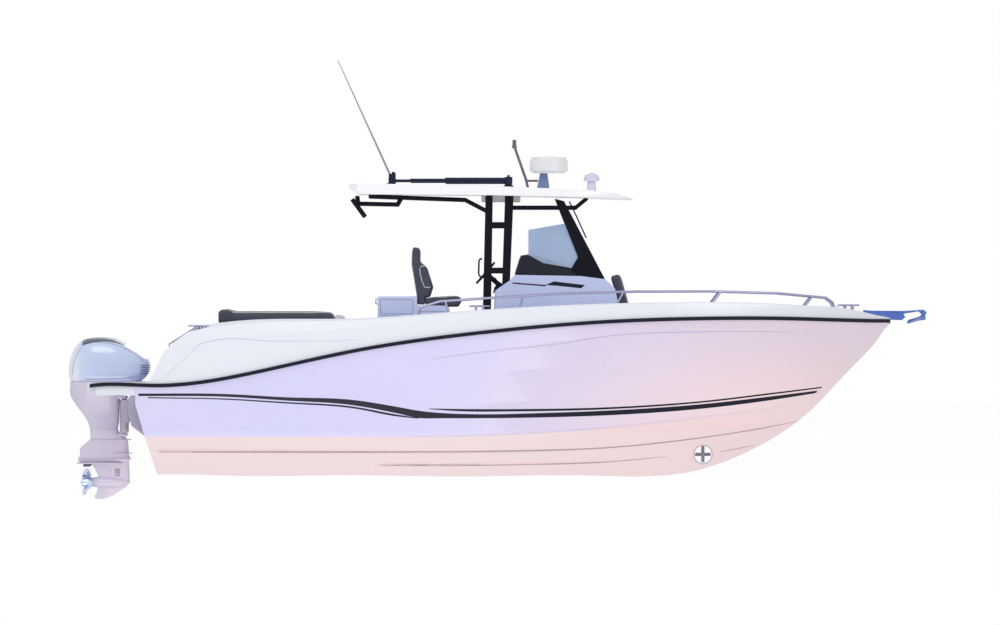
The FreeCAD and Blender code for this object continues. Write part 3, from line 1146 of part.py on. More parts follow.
# Blade sections: radius, chord, pitch angle, thickness, rake aft
BLADE = ((45, 105, 62, 16, 0), (100, 160, 50, 12, -12), (155, 170, 40, 8, -26),
         (size("PropRadius"), 80, 34, 5, -36))
blade = half_loft([blade_section(*row) for row in BLADE], True)
for name, side in (("port", 1), ("starboard", -1)):
    propeller = hub.copy()
    for i in range(3):
        turned_blade = blade.copy()
        turned_blade.translate(Vector(-4930, 0, 0))
        turned_blade.rotate(Vector(0, 0, 0), ALONG_X, 120 * i)
        turned_blade.translate(Vector(0, 0, prop_z))
        propeller = propeller.fuse(turned_blade)
    piece(feature(f"Propeller{name.title()}", moved(propeller, side * size("EngineY"))), f"{name}_propeller")

document.recompute()
for item in document.Objects:
    if "Invalid" in item.State or "Error" in item.State:
        raise RuntimeError(f"{item.Name} ({item.Label}) failed: {item.State}")
os.makedirs("parts", exist_ok=True)
unsound = [item.Label for item in PIECES
           if item.Shape.isNull() or not item.Shape.isValid() or not item.Shape.Solids]
if unsound:
    raise RuntimeError(f"not sound solids: {unsound}")
for item in PIECES:
    item.Shape.exportStep(os.path.join("parts", item.Label + ".step"))
print(len(PIECES), "pieces written")
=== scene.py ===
"""Looks for a center console boat: gelcoat, upholstery, engines, glass and fittings on its fixed frame."""

import math

import bmesh
import bpy
import numpy as np
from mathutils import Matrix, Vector


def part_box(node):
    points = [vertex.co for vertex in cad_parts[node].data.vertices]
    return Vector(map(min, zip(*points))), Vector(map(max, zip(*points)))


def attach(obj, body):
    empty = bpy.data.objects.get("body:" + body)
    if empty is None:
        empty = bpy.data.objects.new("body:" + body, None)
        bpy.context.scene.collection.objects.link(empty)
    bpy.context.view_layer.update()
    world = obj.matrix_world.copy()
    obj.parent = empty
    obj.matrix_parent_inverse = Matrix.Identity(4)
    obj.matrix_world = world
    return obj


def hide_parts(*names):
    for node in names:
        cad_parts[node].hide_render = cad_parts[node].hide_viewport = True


bl_info = {
    "name": "Center console boat looks",
    "version": (1, 0, 0),
    "blender": (4, 5, 0),
    "location": "View3D > Sidebar > Boat",
    "description": "Builds the gelcoat, upholstery, engines, glass and fittings of a center console boat",
    "category": "Object",
}

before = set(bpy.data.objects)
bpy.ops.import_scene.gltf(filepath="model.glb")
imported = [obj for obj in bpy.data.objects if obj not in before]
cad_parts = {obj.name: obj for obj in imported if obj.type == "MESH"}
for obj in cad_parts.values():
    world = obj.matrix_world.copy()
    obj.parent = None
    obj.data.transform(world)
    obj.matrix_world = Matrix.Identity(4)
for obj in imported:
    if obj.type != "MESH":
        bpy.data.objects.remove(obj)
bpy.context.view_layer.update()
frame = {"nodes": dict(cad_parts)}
NODES = frame["nodes"]

# What the camera shows: length across at the boat's middle, the point at its centre, its sensor's width
VIEW_ACROSS = 12.25
VIEW_CENTRE_X = 0.110
VIEW_CENTRE_Z = 1.439
SENSOR = 36.0

# Points nearer than this are one point, and edges that turn by more than this many radians are sharp
MERGE = 1e-5
SHARP = 0.5
# A path that rises more steeply than this, as the sine of its slope, takes its side from the boat's length
STEEP = 0.94
# Points round a turned piece
TURNED_POINTS = 48


# Settings

class BoatColours(bpy.types.PropertyGroup):
    """Colours of the boat's finishes."""
    # The hull's gelcoat is white: the lavender of the first colour is painted sky light, and the pink of the
    # second is painted warm bounce light from below
    gelcoat: bpy.props.FloatVectorProperty(
        name="Gelcoat", description="Topsides in the upper light", subtype="COLOR", size=3,
        default=(0.575, 0.58, 0.86), min=0, max=1)
    gelcoat_warm: bpy.props.FloatVectorProperty(
        name="Bounce-lit gelcoat", description="Bottom and bow, with the warm tint", subtype="COLOR", size=3,
        default=(0.985, 0.785, 0.79), min=0, max=1)
    deck: bpy.props.FloatVectorProperty(
        name="Deck", description="Deck and seat mouldings", subtype="COLOR", size=3,
        default=(0.82, 0.86, 0.93), min=0, max=1)
    # The console's colour is the white moulding with painted shade: darker and bluer, as in the hardtop's
    # shade
    inner: bpy.props.FloatVectorProperty(
        name="Console", description="Console and leaning post, in the hardtop's shade", subtype="COLOR",
        size=3, default=(0.60, 0.68, 0.96), min=0, max=1)
    top: bpy.props.FloatVectorProperty(
        name="Hardtop", description="White of the hardtop and the radar", subtype="COLOR", size=3,
        default=(0.94, 0.96, 0.98), min=0, max=1)
    black: bpy.props.FloatVectorProperty(
        name="Trim black", description="Rub rail, stripes and frame", subtype="COLOR", size=3,
        default=(0.004, 0.006, 0.018), min=0, max=1)
    cushion: bpy.props.FloatVectorProperty(
        name="Cushion", description="Dark upholstery", subtype="COLOR", size=3,
        default=(0.050, 0.055, 0.092), min=0, max=1)
    glass: bpy.props.FloatVectorProperty(
        name="Glass", description="Tint of the windscreen and side glasses", subtype="COLOR", size=3,
        default=(0.66, 0.78, 0.98), min=0, max=1)
    engine: bpy.props.FloatVectorProperty(
        name="Engine leg", description="Paint of the engines' legs", subtype="COLOR", size=3,
        default=(0.68, 0.63, 0.76), min=0, max=1)
    cowl: bpy.props.FloatVectorProperty(
        name="Cowl", description="Paint of the engines' cowls", subtype="COLOR", size=3,
        default=(0.63, 0.74, 0.98), min=0, max=1)


class BoatSizes(bpy.types.PropertyGroup):
    """Sizes of what the looks add."""
    camera_distance: bpy.props.FloatProperty(
        name="Camera distance", description="From the boat's middle to the camera", default=220.0, min=10,
        unit="LENGTH")
    stripe_proud: bpy.props.FloatProperty(
        name="Stripe height", description="How far the stripes stand off the gelcoat", default=0.0008, min=0,
        unit="LENGTH")
    cushion_swell: bpy.props.FloatProperty(
        name="Cushion swell", description="Most that a cushion's skin moves as it fills", default=0.014,
        min=0, unit="LENGTH")


def colours():
    """The colour settings of this scene."""
    return bpy.context.scene.boat_colours


def sizes():
    """The size settings of this scene."""
    return bpy.context.scene.boat_sizes


# Meshes from numpy

def add_to_scene(item):
    """Link a new object to the scene."""
    bpy.context.scene.collection.objects.link(item)
    return item


def shade_smooth(item, smooth=True):
    """Smooth or flat shading on every face."""
    item.data.polygons.foreach_set("use_smooth", np.full(len(item.data.polygons), smooth))


def make_object(name, vertices, faces, smooth=True):
    """An object whose mesh has these vertices and faces; it sits at the origin."""
    mesh = bpy.data.meshes.new(name)
    mesh.from_pydata(np.asarray(vertices, dtype=float).reshape(-1, 3).tolist(), [], faces)
    mesh.update()
    item = add_to_scene(bpy.data.objects.new(name, mesh))
    shade_smooth(item, smooth)
    return item


def node_copy(node, name):
    """A copy of a frame node as an object of its own, without materials."""
    item = add_to_scene(bpy.data.objects.new(name, NODES[node].data.copy()))
    item.data.materials.clear()
    return item


def positions(item):
    """Places of a mesh's points as an array."""
    flat = np.empty(3 * len(item.data.vertices))
    item.data.vertices.foreach_get("co", flat)
    return flat.reshape(-1, 3)


def grid_faces(rows, columns, wrap=False, flip=False):
    """Quads of a grid of rows by columns points; each row may join up with its start."""
    r, c = np.meshgrid(np.arange(rows - 1), np.arange(columns if wrap else columns - 1), indexing="ij")
    r, c = r.ravel(), c.ravel()
    c_next = (c + 1) % columns
    quads = np.stack([r * columns + c, r * columns + c_next, (r + 1) * columns + c_next,
                      (r + 1) * columns + c], axis=1)
    return (quads[:, ::-1] if flip else quads).tolist()


def grid_object(name, points, smooth=True):
    """A closed shape from a (rows, columns, 3) array of points: each row is a ring that joins up, and the
    first and last rows are closed with one face each."""
    points = np.asarray(points, dtype=float)
    rows, columns, _ = points.shape
    faces = grid_faces(rows, columns, wrap=True)
    faces.append(list(range(columns))[::-1])
    faces.append([(rows - 1) * columns + i for i in range(columns)])
    item = make_object(name, points, faces, smooth)
    face_outwards(item)
    return item


def face_outwards(item):
    """Merge doubled points and turn every face of a closed shape outwards."""
    work = bmesh.new()
    work.from_mesh(item.data)
    bmesh.ops.remove_doubles(work, verts=work.verts, dist=MERGE)
    bmesh.ops.recalc_face_normals(work, faces=work.faces)
    work.to_mesh(item.data)
    work.free()
    item.data.update()


def join_objects(name, items):
    """One object made of several; their meshes are put together in order."""
    vertices, faces, smooth, offset = [], [], [], 0
    for item in items:
        vertices.append(positions(item))
        faces += [[i + offset for i in polygon.vertices] for polygon in item.data.polygons]
        smooth += [polygon.use_smooth for polygon in item.data.polygons]
        offset += len(vertices[-1])
        bpy.data.objects.remove(item)
    joined = make_object(name, np.concatenate(vertices), faces)
    joined.data.polygons.foreach_set("use_smooth", smooth)
    return joined


def full_turn(count):
    """Angles of a full turn in even steps."""
    return np.linspace(0, 2 * math.pi, count, endpoint=False)


def frame_along(path):
    """Unit side and up vectors at each point of a path, the side kept level where it can be."""
    tangent = np.gradient(path, axis=0)
    tangent /= np.linalg.norm(tangent, axis=1)[:, None]
    reference = np.tile([0.0, 0.0, 1.0], (len(path), 1))
    reference[np.abs(tangent[:, 2]) > STEEP] = (1.0, 0.0, 0.0)
    side = np.cross(tangent, reference)
    side /= np.linalg.norm(side, axis=1)[:, None]
    return side, np.cross(side, tangent)


def sweep(name, path, radius, around=16):
    """A round bar: point(s, a) = path(s) + radius * (cos a * side(s) + sin a * up(s))."""
    path = np.asarray(path, dtype=float)
    side, up = frame_along(path)
    angle = full_turn(around)[None, :, None]
    points = path[:, None, :] + radius * (np.cos(angle) * side[:, None, :] + np.sin(angle) * up[:, None, :])
    return grid_object(name, points)


def rounded_path(corners, radius, steps=8):
    """A path along straight runs whose corners are turned by arcs: each arc is a quadratic curve
    from radius before the corner to radius after it."""
    corners = np.asarray(corners, dtype=float)
    parts = [corners[:1]]
    t = np.linspace(0, 1, steps)[:, None]
    for before, corner, after in zip(corners, corners[1:], corners[2:]):
        back, ahead = before - corner, after - corner
        reach = min(radius, 0.45 * np.linalg.norm(back), 0.45 * np.linalg.norm(ahead))
        start = corner + back / np.linalg.norm(back) * reach
        end = corner + ahead / np.linalg.norm(ahead) * reach
        parts.append((1 - t) ** 2 * start + 2 * t * (1 - t) * corner + t ** 2 * end)
    parts.append(corners[-1:])
    return np.concatenate(parts)


def revolve(name, profile, base, axis=(0, 0, 1)):
    """A turned piece about an upright or a lengthwise axis:
    point(i, a) = base + height(i) * axis + radius(i) * (cos a * u + sin a * v)."""
    radius, height = np.asarray(profile, dtype=float).T[:, :, None, None]
    axis = np.asarray(axis, dtype=float)
    u = np.cross(axis, (0, 1, 0))
    v = np.cross(axis, u)
    angle = full_turn(TURNED_POINTS)[None, :, None]
    points = np.asarray(base, dtype=float) + height * axis + radius * (np.cos(angle) * u + np.sin(angle) * v)
    return grid_object(name, points)


def fairing(table, stations):
    """Columns of a table at new stations of its first column, by a cubic through its rows whose
    slope at each row is the mean slope to its neighbours."""
    table = np.asarray(table, dtype=float)
    x, values = table[:, 0], table[:, 1:]
    slope = np.gradient(values, x, axis=0)
    i = np.clip(np.searchsorted(x, stations, side="right") - 1, 0, len(x) - 2)
    run = (x[i + 1] - x[i])[:, None]
    t = (np.asarray(stations)[:, None] - x[i][:, None]) / run
    return (values[i] * (1 + 2 * t) * (1 - t) ** 2 + slope[i] * run * t * (1 - t) ** 2
            + values[i + 1] * t * t * (3 - 2 * t) + slope[i + 1] * run * t * t * (t - 1))


def add_modifier(item, kind, name, **values):
    """A modifier with its values set."""
    modifier = item.modifiers.new(name, kind)
    for key, value in values.items():
        setattr(modifier, key, value)
    return modifier


def apply_modifiers(item):
    """Put what the modifiers make into the mesh itself."""
    shaped = bpy.data.meshes.new_from_object(item.evaluated_get(bpy.context.evaluated_depsgraph_get()))
    item.modifiers.clear()
    item.data = shaped
    return item


def moulded_copy(node, name, width):
    """A copy of a frame node with merged points, its sharp edges rounded to width."""
    item = node_copy(node, name)
    work = bmesh.new()
    work.from_mesh(item.data)
    bmesh.ops.remove_doubles(work, verts=work.verts, dist=MERGE)
    bmesh.ops.dissolve_limit(work, angle_limit=0.01, verts=work.verts, edges=work.edges)
    work.to_mesh(item.data)
    work.free()
    shade_smooth(item)
    add_modifier(item, "BEVEL", "Moulded edge", width=width, segments=3, limit_method="ANGLE",
                 angle_limit=SHARP, harden_normals=True, use_clamp_overlap=True)
    return apply_modifiers(item)


def finish_piece(item, body, label, replaces=()):
    """Finish, body and material slot of a piece, and the nodes it stands for."""
    item.data.materials.clear()
    item.data.materials.append(finish(label))
    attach(item, body)
    if replaces:
        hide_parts(*replaces)


# Shader node groups

def add_node(tree, kind, **values):
    """A node with its properties set; values named after sockets set those sockets."""
    node = tree.nodes.new(kind)
    for key, value in values.items():
        if key in node.inputs:
            node.inputs[key].default_value = value
        else:
            setattr(node, key, value)
    return node


def new_group(name, inputs, outputs):
    """An empty node group with (name, socket type, default) inputs and (name, type) outputs."""
    group = bpy.data.node_groups.new(name, "ShaderNodeTree")
    for label, kind, default in inputs:
        socket = group.interface.new_socket(name=label, in_out="INPUT", socket_type=kind)
        if default is not None:
            socket.default_value = default
    for label, kind in outputs:
        group.interface.new_socket(name=label, in_out="OUTPUT", socket_type=kind)
    return group, group.nodes.new("NodeGroupInput"), group.nodes.new("NodeGroupOutput")


def feed(tree, value, socket):
    """Give a socket a value, or link what another socket puts out."""
    if isinstance(value, bpy.types.NodeSocket):
        tree.links.new(value, socket)
    else:
        socket.default_value = value


def split(tree, vector):
    """The X, Y and Z of a vector, as output sockets."""
    node = tree.nodes.new("ShaderNodeSeparateXYZ")
    tree.links.new(vector, node.inputs[0])
    return node.outputs


def mix_colour(tree, factor, first, second):
    """A colour mix whose three inputs may be sockets or values; gives its output socket."""
    node = tree.nodes.new("ShaderNodeMix")
    node.data_type = "RGBA"
    for index, value in ((0, factor), (6, first), (7, second)):
        feed(tree, value, node.inputs[index])
    return node.outputs[2]


def calculate(tree, operation, *values, clamp=False):
    """A math node on sockets or numbers; gives its output socket."""
    node = tree.nodes.new("ShaderNodeMath")
    node.operation = operation
    node.use_clamp = clamp
    for index, value in enumerate(values):
        feed(tree, value, node.inputs[index])
    return node.outputs[0]


def remap(tree, value, low, high, to_low=0.0, to_high=1.0):
    """A value carried smoothly from one range to another, held at the ends."""
    node = tree.nodes.new("ShaderNodeMapRange")
    node.interpolation_type = "SMOOTHSTEP"
    node.clamp = True
    tree.links.new(value, node.inputs["Value"])
    for label, number in (("From Min", low), ("From Max", high), ("To Min", to_low), ("To Max", to_high)):
        node.inputs[label].default_value = number
    return node.outputs["Result"]


def colour_drift_group():
    """Slow uneven toning of a paint: a colour drawn towards a second one by two sizes of noise."""
    group, inlet, outlet = new_group("Colour drift", (
        ("Position", "NodeSocketVector", None), ("Colour", "NodeSocketColor", (1, 1, 1, 1)),
        ("Worn colour", "NodeSocketColor", (1, 1, 1, 1)), ("Size", "NodeSocketFloat", 1.0),
        ("Amount", "NodeSocketFloat", 0.3)), (("Colour", "NodeSocketColor"),))
    broad = add_node(group, "ShaderNodeTexNoise", Detail=3.0, Roughness=0.55)
    fine = add_node(group, "ShaderNodeTexNoise", Detail=4.0, Roughness=0.6)
    group.links.new(inlet.outputs["Position"], broad.inputs["Vector"])
    group.links.new(inlet.outputs["Position"], fine.inputs["Vector"])
    group.links.new(inlet.outputs["Size"], broad.inputs["Scale"])
    group.links.new(calculate(group, "MULTIPLY", inlet.outputs["Size"], 14.0), fine.inputs["Scale"])
    both = calculate(group, "ADD", calculate(group, "MULTIPLY", broad.outputs["Fac"], 0.75),
                     calculate(group, "MULTIPLY", fine.outputs["Fac"], 0.25))
    mask = remap(group, both, 0.40, 0.66)
    amount = calculate(group, "MULTIPLY", mask, inlet.outputs["Amount"])
    group.links.new(mix_colour(group, amount, inlet.outputs["Colour"], inlet.outputs["Worn colour"]),
                    outlet.inputs["Colour"])
    return group


def leather_grain_group():
    """Pebbled grain of coated upholstery: rounded cells with creases between them, and fine pores."""
    group, inlet, outlet = new_group("Upholstery grain", (
        ("Position", "NodeSocketVector", None), ("Size", "NodeSocketFloat", 300.0)),
        (("Height", "NodeSocketFloat"), ("Crease", "NodeSocketFloat")))
    cells = add_node(group, "ShaderNodeTexVoronoi", feature="DISTANCE_TO_EDGE")
    pores = add_node(group, "ShaderNodeTexNoise", Detail=2.0)
    for node in (cells, pores):
        group.links.new(inlet.outputs["Position"], node.inputs["Vector"])
    group.links.new(inlet.outputs["Size"], cells.inputs["Scale"])
    group.links.new(calculate(group, "MULTIPLY", inlet.outputs["Size"], 0.12), pores.inputs["Scale"])
    crease = remap(group, cells.outputs["Distance"], 0.0, 0.22)
    height = calculate(group, "ADD", crease, calculate(group, "MULTIPLY", pores.outputs["Fac"], 0.8))
    group.links.new(height, outlet.inputs["Height"])
    group.links.new(calculate(group, "SUBTRACT", 1.0, crease), outlet.inputs["Crease"])
    return group


def fine_finish_group():
    """Roughness of a polished or painted face: a level that a fine and a broad noise vary."""
    group, inlet, outlet = new_group("Fine finish", (
        ("Position", "NodeSocketVector", None), ("Level", "NodeSocketFloat", 0.2),
        ("Spread", "NodeSocketFloat", 0.1), ("Size", "NodeSocketFloat", 6.0)),
        (("Roughness", "NodeSocketFloat"), ("Height", "NodeSocketFloat")))
    haze = add_node(group, "ShaderNodeTexNoise", Detail=5.0, Roughness=0.65)
    peel = add_node(group, "ShaderNodeTexNoise", Detail=1.0, Scale=140.0)
    for node in (haze, peel):
        group.links.new(inlet.outputs["Position"], node.inputs["Vector"])
    group.links.new(inlet.outputs["Size"], haze.inputs["Scale"])
    swing = calculate(group, "MULTIPLY", calculate(group, "SUBTRACT", haze.outputs["Fac"], 0.5),
                      calculate(group, "MULTIPLY", inlet.outputs["Spread"], 2.0))
    group.links.new(calculate(group, "ADD", inlet.outputs["Level"], swing, clamp=True),
                    outlet.inputs["Roughness"])
    group.links.new(peel.outputs["Fac"], outlet.inputs["Height"])
    return group


def brushed_group():
    """Fine lines along one direction, as polishing leaves on steel: noise squeezed across them."""
    group, inlet, outlet = new_group("Brushed lines", (
        ("Position", "NodeSocketVector", None), ("Stretch", "NodeSocketVector", (4.0, 260.0, 260.0))),
        (("Height", "NodeSocketFloat"),))
    scaled = add_node(group, "ShaderNodeVectorMath", operation="MULTIPLY")
    group.links.new(inlet.outputs["Position"], scaled.inputs[0])
    group.links.new(inlet.outputs["Stretch"], scaled.inputs[1])
    lines = add_node(group, "ShaderNodeTexNoise", Scale=1.0, Detail=3.0)
    group.links.new(scaled.outputs[0], lines.inputs["Vector"])
    group.links.new(lines.outputs["Fac"], outlet.inputs["Height"])
    return group


def nonskid_group():
    """Moulded nonskid: small raised diamonds from two crossed waves, level where the waves meet."""
    group, inlet, outlet = new_group("Nonskid", (
        ("Position", "NodeSocketVector", None), ("Pitch", "NodeSocketFloat", 0.012)),
        (("Mask", "NodeSocketFloat"),))
    place = split(group, inlet.outputs["Position"])
    waves = []
    for operation in ("ADD", "SUBTRACT"):
        along = calculate(group, operation, place["X"], place["Y"])
        turns = calculate(group, "DIVIDE", along, inlet.outputs["Pitch"])
        waves.append(calculate(group, "PINGPONG", turns, 0.5))
    raised = remap(group, calculate(group, "MINIMUM", *waves), 0.10, 0.26)
    group.links.new(raised, outlet.inputs["Mask"])
    return group


# The chine, which bounds the painted bounce light of the bottom: its height aft, where it starts to rise, and
# how fast and with which power of the length
CHINE_AFT = -0.076
CHINE_START = -0.9
CHINE_RISE = 0.0215
CHINE_POWER = 1.9
CHINE_BLEND = 0.012


def painted_bounce_light_group():
    """How much painted warm bounce light a place on the gelcoat gets: fully below the chine, and above it
    growing towards the bow and fading with height. The chine's height is its height aft, plus a power of the
    length forward of where it starts to rise."""
    group, inlet, outlet = new_group("Warm tint", (
        ("Position", "NodeSocketVector", None),), (("Mask", "NodeSocketFloat"),))
    place = split(group, inlet.outputs["Position"])
    run = calculate(group, "MAXIMUM", calculate(group, "SUBTRACT", place["X"], CHINE_START), 0.0)
    rise = calculate(group, "MULTIPLY", calculate(group, "POWER", run, CHINE_POWER), CHINE_RISE)
    above = calculate(group, "SUBTRACT", place["Z"], calculate(group, "ADD", rise, CHINE_AFT))
    low = remap(group, above, CHINE_BLEND, -CHINE_BLEND)
    forward = remap(group, place["X"], -1.5, 4.2)
    high = remap(group, place["Z"], 0.2, 1.3, 1.0, 0.60)
    along = calculate(group, "MULTIPLY", forward, high)
    group.links.new(calculate(group, "MAXIMUM", low, along), outlet.inputs["Mask"])
    return group


GROUP_MAKERS = {"Colour drift": colour_drift_group, "Upholstery grain": leather_grain_group,
                "Fine finish": fine_finish_group, "Brushed lines": brushed_group,
                "Nonskid": nonskid_group, "Warm tint": painted_bounce_light_group}


def place_group(tree, name, **values):
    """A copy of a shared group in a material; each is made the first time it is asked for."""
    node = tree.nodes.new("ShaderNodeGroup")
    node.node_tree = bpy.data.node_groups.get(name) or GROUP_MAKERS[name]()
    for label, value in values.items():
        feed(tree, value, node.inputs[label.replace("_", " ")])
    return node


# Materials

def shaded(colour, factor=1.0):
    """A colour made darker or lighter by a factor, with full alpha."""
    return tuple(min(1.0, c * factor) for c in tuple(colour)[:3]) + (1.0,)


def start_material(name):
    """A new material: its tree, its Principled BSDF and the Object coordinates it reads."""
    material = bpy.data.materials.new(name)
    material.use_nodes = True
    tree = material.node_tree
    tree.nodes.clear()
    shader = tree.nodes.new("ShaderNodeBsdfPrincipled")
    outlet = tree.nodes.new("ShaderNodeOutputMaterial")
    tree.links.new(shader.outputs[0], outlet.inputs["Surface"])
    place = tree.nodes.new("ShaderNodeTexCoord").outputs["Object"]
    return material, tree, shader, place


def add_bump(tree, shader, height, strength, distance):
    """A bump from a height, on the shader's normal."""
    bump = add_node(tree, "ShaderNodeBump", Strength=strength, Distance=distance)
    tree.links.new(height, bump.inputs["Height"])
    tree.links.new(bump.outputs["Normal"], shader.inputs["Normal"])


def drifting(tree, place, colour, worn, size, amount):
    """A colour that drifts from one tone towards another, as an output socket."""
    return place_group(tree, "Colour drift", Position=place, Colour=colour, Worn_colour=worn, Size=size,
                       Amount=amount).outputs["Colour"]


def toned(tree, shader, place, colour, worn, size, amount):
    """A base colour that drifts from one tone towards another."""
    tree.links.new(drifting(tree, place, colour, worn, size, amount), shader.inputs["Base Color"])


def roughened(tree, shader, place, level, spread, size=6.0):
    """Roughness that varies about a level; gives the node that makes it."""
    film = place_group(tree, "Fine finish", Position=place, Level=level, Spread=spread, Size=size)
    tree.links.new(film.outputs["Roughness"], shader.inputs["Roughness"])
    return film


def coated(shader, weight, roughness):
    """A clear coat over the base."""
    shader.inputs["Coat Weight"].default_value = weight
    shader.inputs["Coat Roughness"].default_value = roughness


def painted(name, colour, level=0.22, spread=0.08, metallic=0.0, drift=0.25, worn=0.9, coat=0.0,
            peel=0.03, gloss=0.5):
    """A painted, moulded or plated finish: uneven tone, uneven gloss and a trace of orange peel."""
    material, tree, shader, place = start_material(name)
    toned(tree, shader, place, colour, shaded(colour, worn), 1.5, drift)
    film = roughened(tree, shader, place, level, spread)
    shader.inputs["Metallic"].default_value = metallic
    shader.inputs["Specular IOR Level"].default_value = gloss
    coated(shader, coat, 0.06)
    add_bump(tree, shader, film.outputs["Height"], peel, 0.002)
    return material


def polished_steel(name, colour, level):
    """Polished stainless steel with faint lines from polishing."""
    material, tree, shader, place = start_material(name)
    toned(tree, shader, place, colour, shaded(colour, 0.8), 9.0, 0.35)
    roughened(tree, shader, place, level, 0.08, 20.0)
    shader.inputs["Metallic"].default_value = 1.0
    add_bump(tree, shader, place_group(tree, "Brushed lines", Position=place).outputs["Height"], 0.05, 0.001)
    return material


def upholstery(name, colour):
    """Coated marine upholstery: pebbled grain that is darker in the creases between its cells, a soft sheen,
    and a tone that drifts to a worn paler one.
    """
    material, tree, shader, place = start_material(name)
    grain = place_group(tree, "Upholstery grain", Position=place, Size=320.0)
    cover = drifting(tree, place, colour, shaded(colour, 1.35), 3.0, 0.4)
    body = mix_colour(tree, grain.outputs["Crease"], cover, shaded(colour, 0.6))
    tree.links.new(body, shader.inputs["Base Color"])
    roughened(tree, shader, place, 0.48, 0.1, 8.0)
    shader.inputs["Sheen Weight"].default_value = 0.15
    add_bump(tree, shader, grain.outputs["Height"], 0.35, 0.0008)
    return material


def gelcoat(name):
    """Glossy white gelcoat with painted light: a painted cool sky tint above the chine, and painted warm
    bounce light below it and towards the bow.
    """
    material, tree, shader, place = start_material(name)
    # Mask of the painted warm bounce light, between the painted sky tint and the painted bounce tint
    warm = place_group(tree, "Warm tint", Position=place)
    body = mix_colour(tree, warm.outputs["Mask"], shaded(colours().gelcoat), shaded(colours().gelcoat_warm))
    toned(tree, shader, place, body, shaded(colours().gelcoat_warm, 0.97), 0.5, 0.10)
    roughened(tree, shader, place, 0.16, 0.05, 3.0)
    coated(shader, 0.6, 0.05)
    return material


def nonskid(name):
    """Moulded nonskid of sole and platform: matt raised diamonds on level faces, darker between them."""
    material, tree, shader, place = start_material(name)
    pattern = place_group(tree, "Nonskid", Position=place, Pitch=0.012)
    facing = split(tree, tree.nodes.new("ShaderNodeNewGeometry").outputs["Normal"])
    level = remap(tree, facing["Z"], 0.85, 0.98)
    raised = calculate(tree, "MULTIPLY", pattern.outputs["Mask"], level)
    diamonds_and_ground = mix_colour(tree, raised, shaded(colours().deck, 0.80), shaded(colours().deck, 0.96))
    body = mix_colour(tree, level, shaded(colours().deck, 0.95), diamonds_and_ground)
    toned(tree, shader, place, body, shaded(colours().deck, 0.78), 2.0, 0.25)
    roughened(tree, shader, place, 0.55, 0.12)
    add_bump(tree, shader, raised, 0.5, 0.0015)
    return material


def tinted_glass(name):
    """Tinted glazing: clear along the eye, more mirror-like at a glance, with a faint film."""
    material, tree, shader, place = start_material(name)
    toned(tree, shader, place, shaded(colours().glass), shaded(colours().glass, 0.9), 1.2, 0.5)
    roughened(tree, shader, place, 0.06, 0.03)
    shader.inputs["Transmission Weight"].default_value = 0.55
    shader.inputs["IOR"].default_value = 1.2
    return material


# Vent panel over the cowls: middle of its length, half its length, how it droops from the middle, its edge
VENT_MIDDLE = -4.735
VENT_HALF = 0.260
VENT_DROOP = 0.75
VENT_EDGE = 1.0815
# Length at which the painted highlight on the cowls' aft rim starts, and where it is brightest
RIM_HIGHLIGHT = (-4.98, -5.10)
# Height between the radar's pedestal and its dome
DOME_FOOT = (3.138, 3.146)


def cowl_paint(name):
    """Glossy cowl paint with a dark vent panel over the top and a painted highlight that pales its aft rim.
    """
    material, tree, shader, place = start_material(name)
    spot = split(tree, place)
    along = calculate(tree, "SUBTRACT", spot["X"], VENT_MIDDLE)
    droop = calculate(tree, "MULTIPLY", calculate(tree, "MULTIPLY", along, along), VENT_DROOP)
    band = remap(tree, calculate(tree, "ADD", spot["Z"], droop), VENT_EDGE - 0.0015, VENT_EDGE + 0.0015)
    reach = remap(tree, calculate(tree, "ABSOLUTE", along), VENT_HALF + 0.002, VENT_HALF - 0.002)
    dark = calculate(tree, "MULTIPLY", band, reach)
    paint = drifting(tree, place, shaded(colours().cowl), shaded(colours().cowl, 0.92), 1.6, 0.3)
    # A painted highlight pales the cowl towards its aft rim
    rim = calculate(tree, "MULTIPLY", remap(tree, spot["X"], *RIM_HIGHLIGHT), 0.7)
    vent = drifting(tree, place, (0.075, 0.095, 0.15, 1.0), (0.11, 0.14, 0.20, 1.0), 12.0, 0.5)
    body = mix_colour(tree, dark, mix_colour(tree, rim, paint, (0.93, 0.94, 0.99, 1.0)), vent)
    tree.links.new(body, shader.inputs["Base Color"])
    film = roughened(tree, shader, place, 0.13, 0.05)
    rough = calculate(tree, "ADD", film.outputs["Roughness"], calculate(tree, "MULTIPLY", dark, 0.25))
    tree.links.new(rough, shader.inputs["Roughness"])
    coated(shader, 0.5, 0.05)
    return material


def radar_shell(name):
    """White dome over a blue-lit steel pedestal: the tone changes at the dome's tray."""
    material, tree, shader, place = start_material(name)
    dome = remap(tree, split(tree, place)["Z"], *DOME_FOOT)
    body = mix_colour(tree, dome, (0.14, 0.20, 0.40, 1.0), shaded(colours().top, 0.92))
    toned(tree, shader, place, body, shaded(colours().top, 0.80), 2.0, 0.12)
    roughened(tree, shader, place, 0.25, 0.06)
    return material


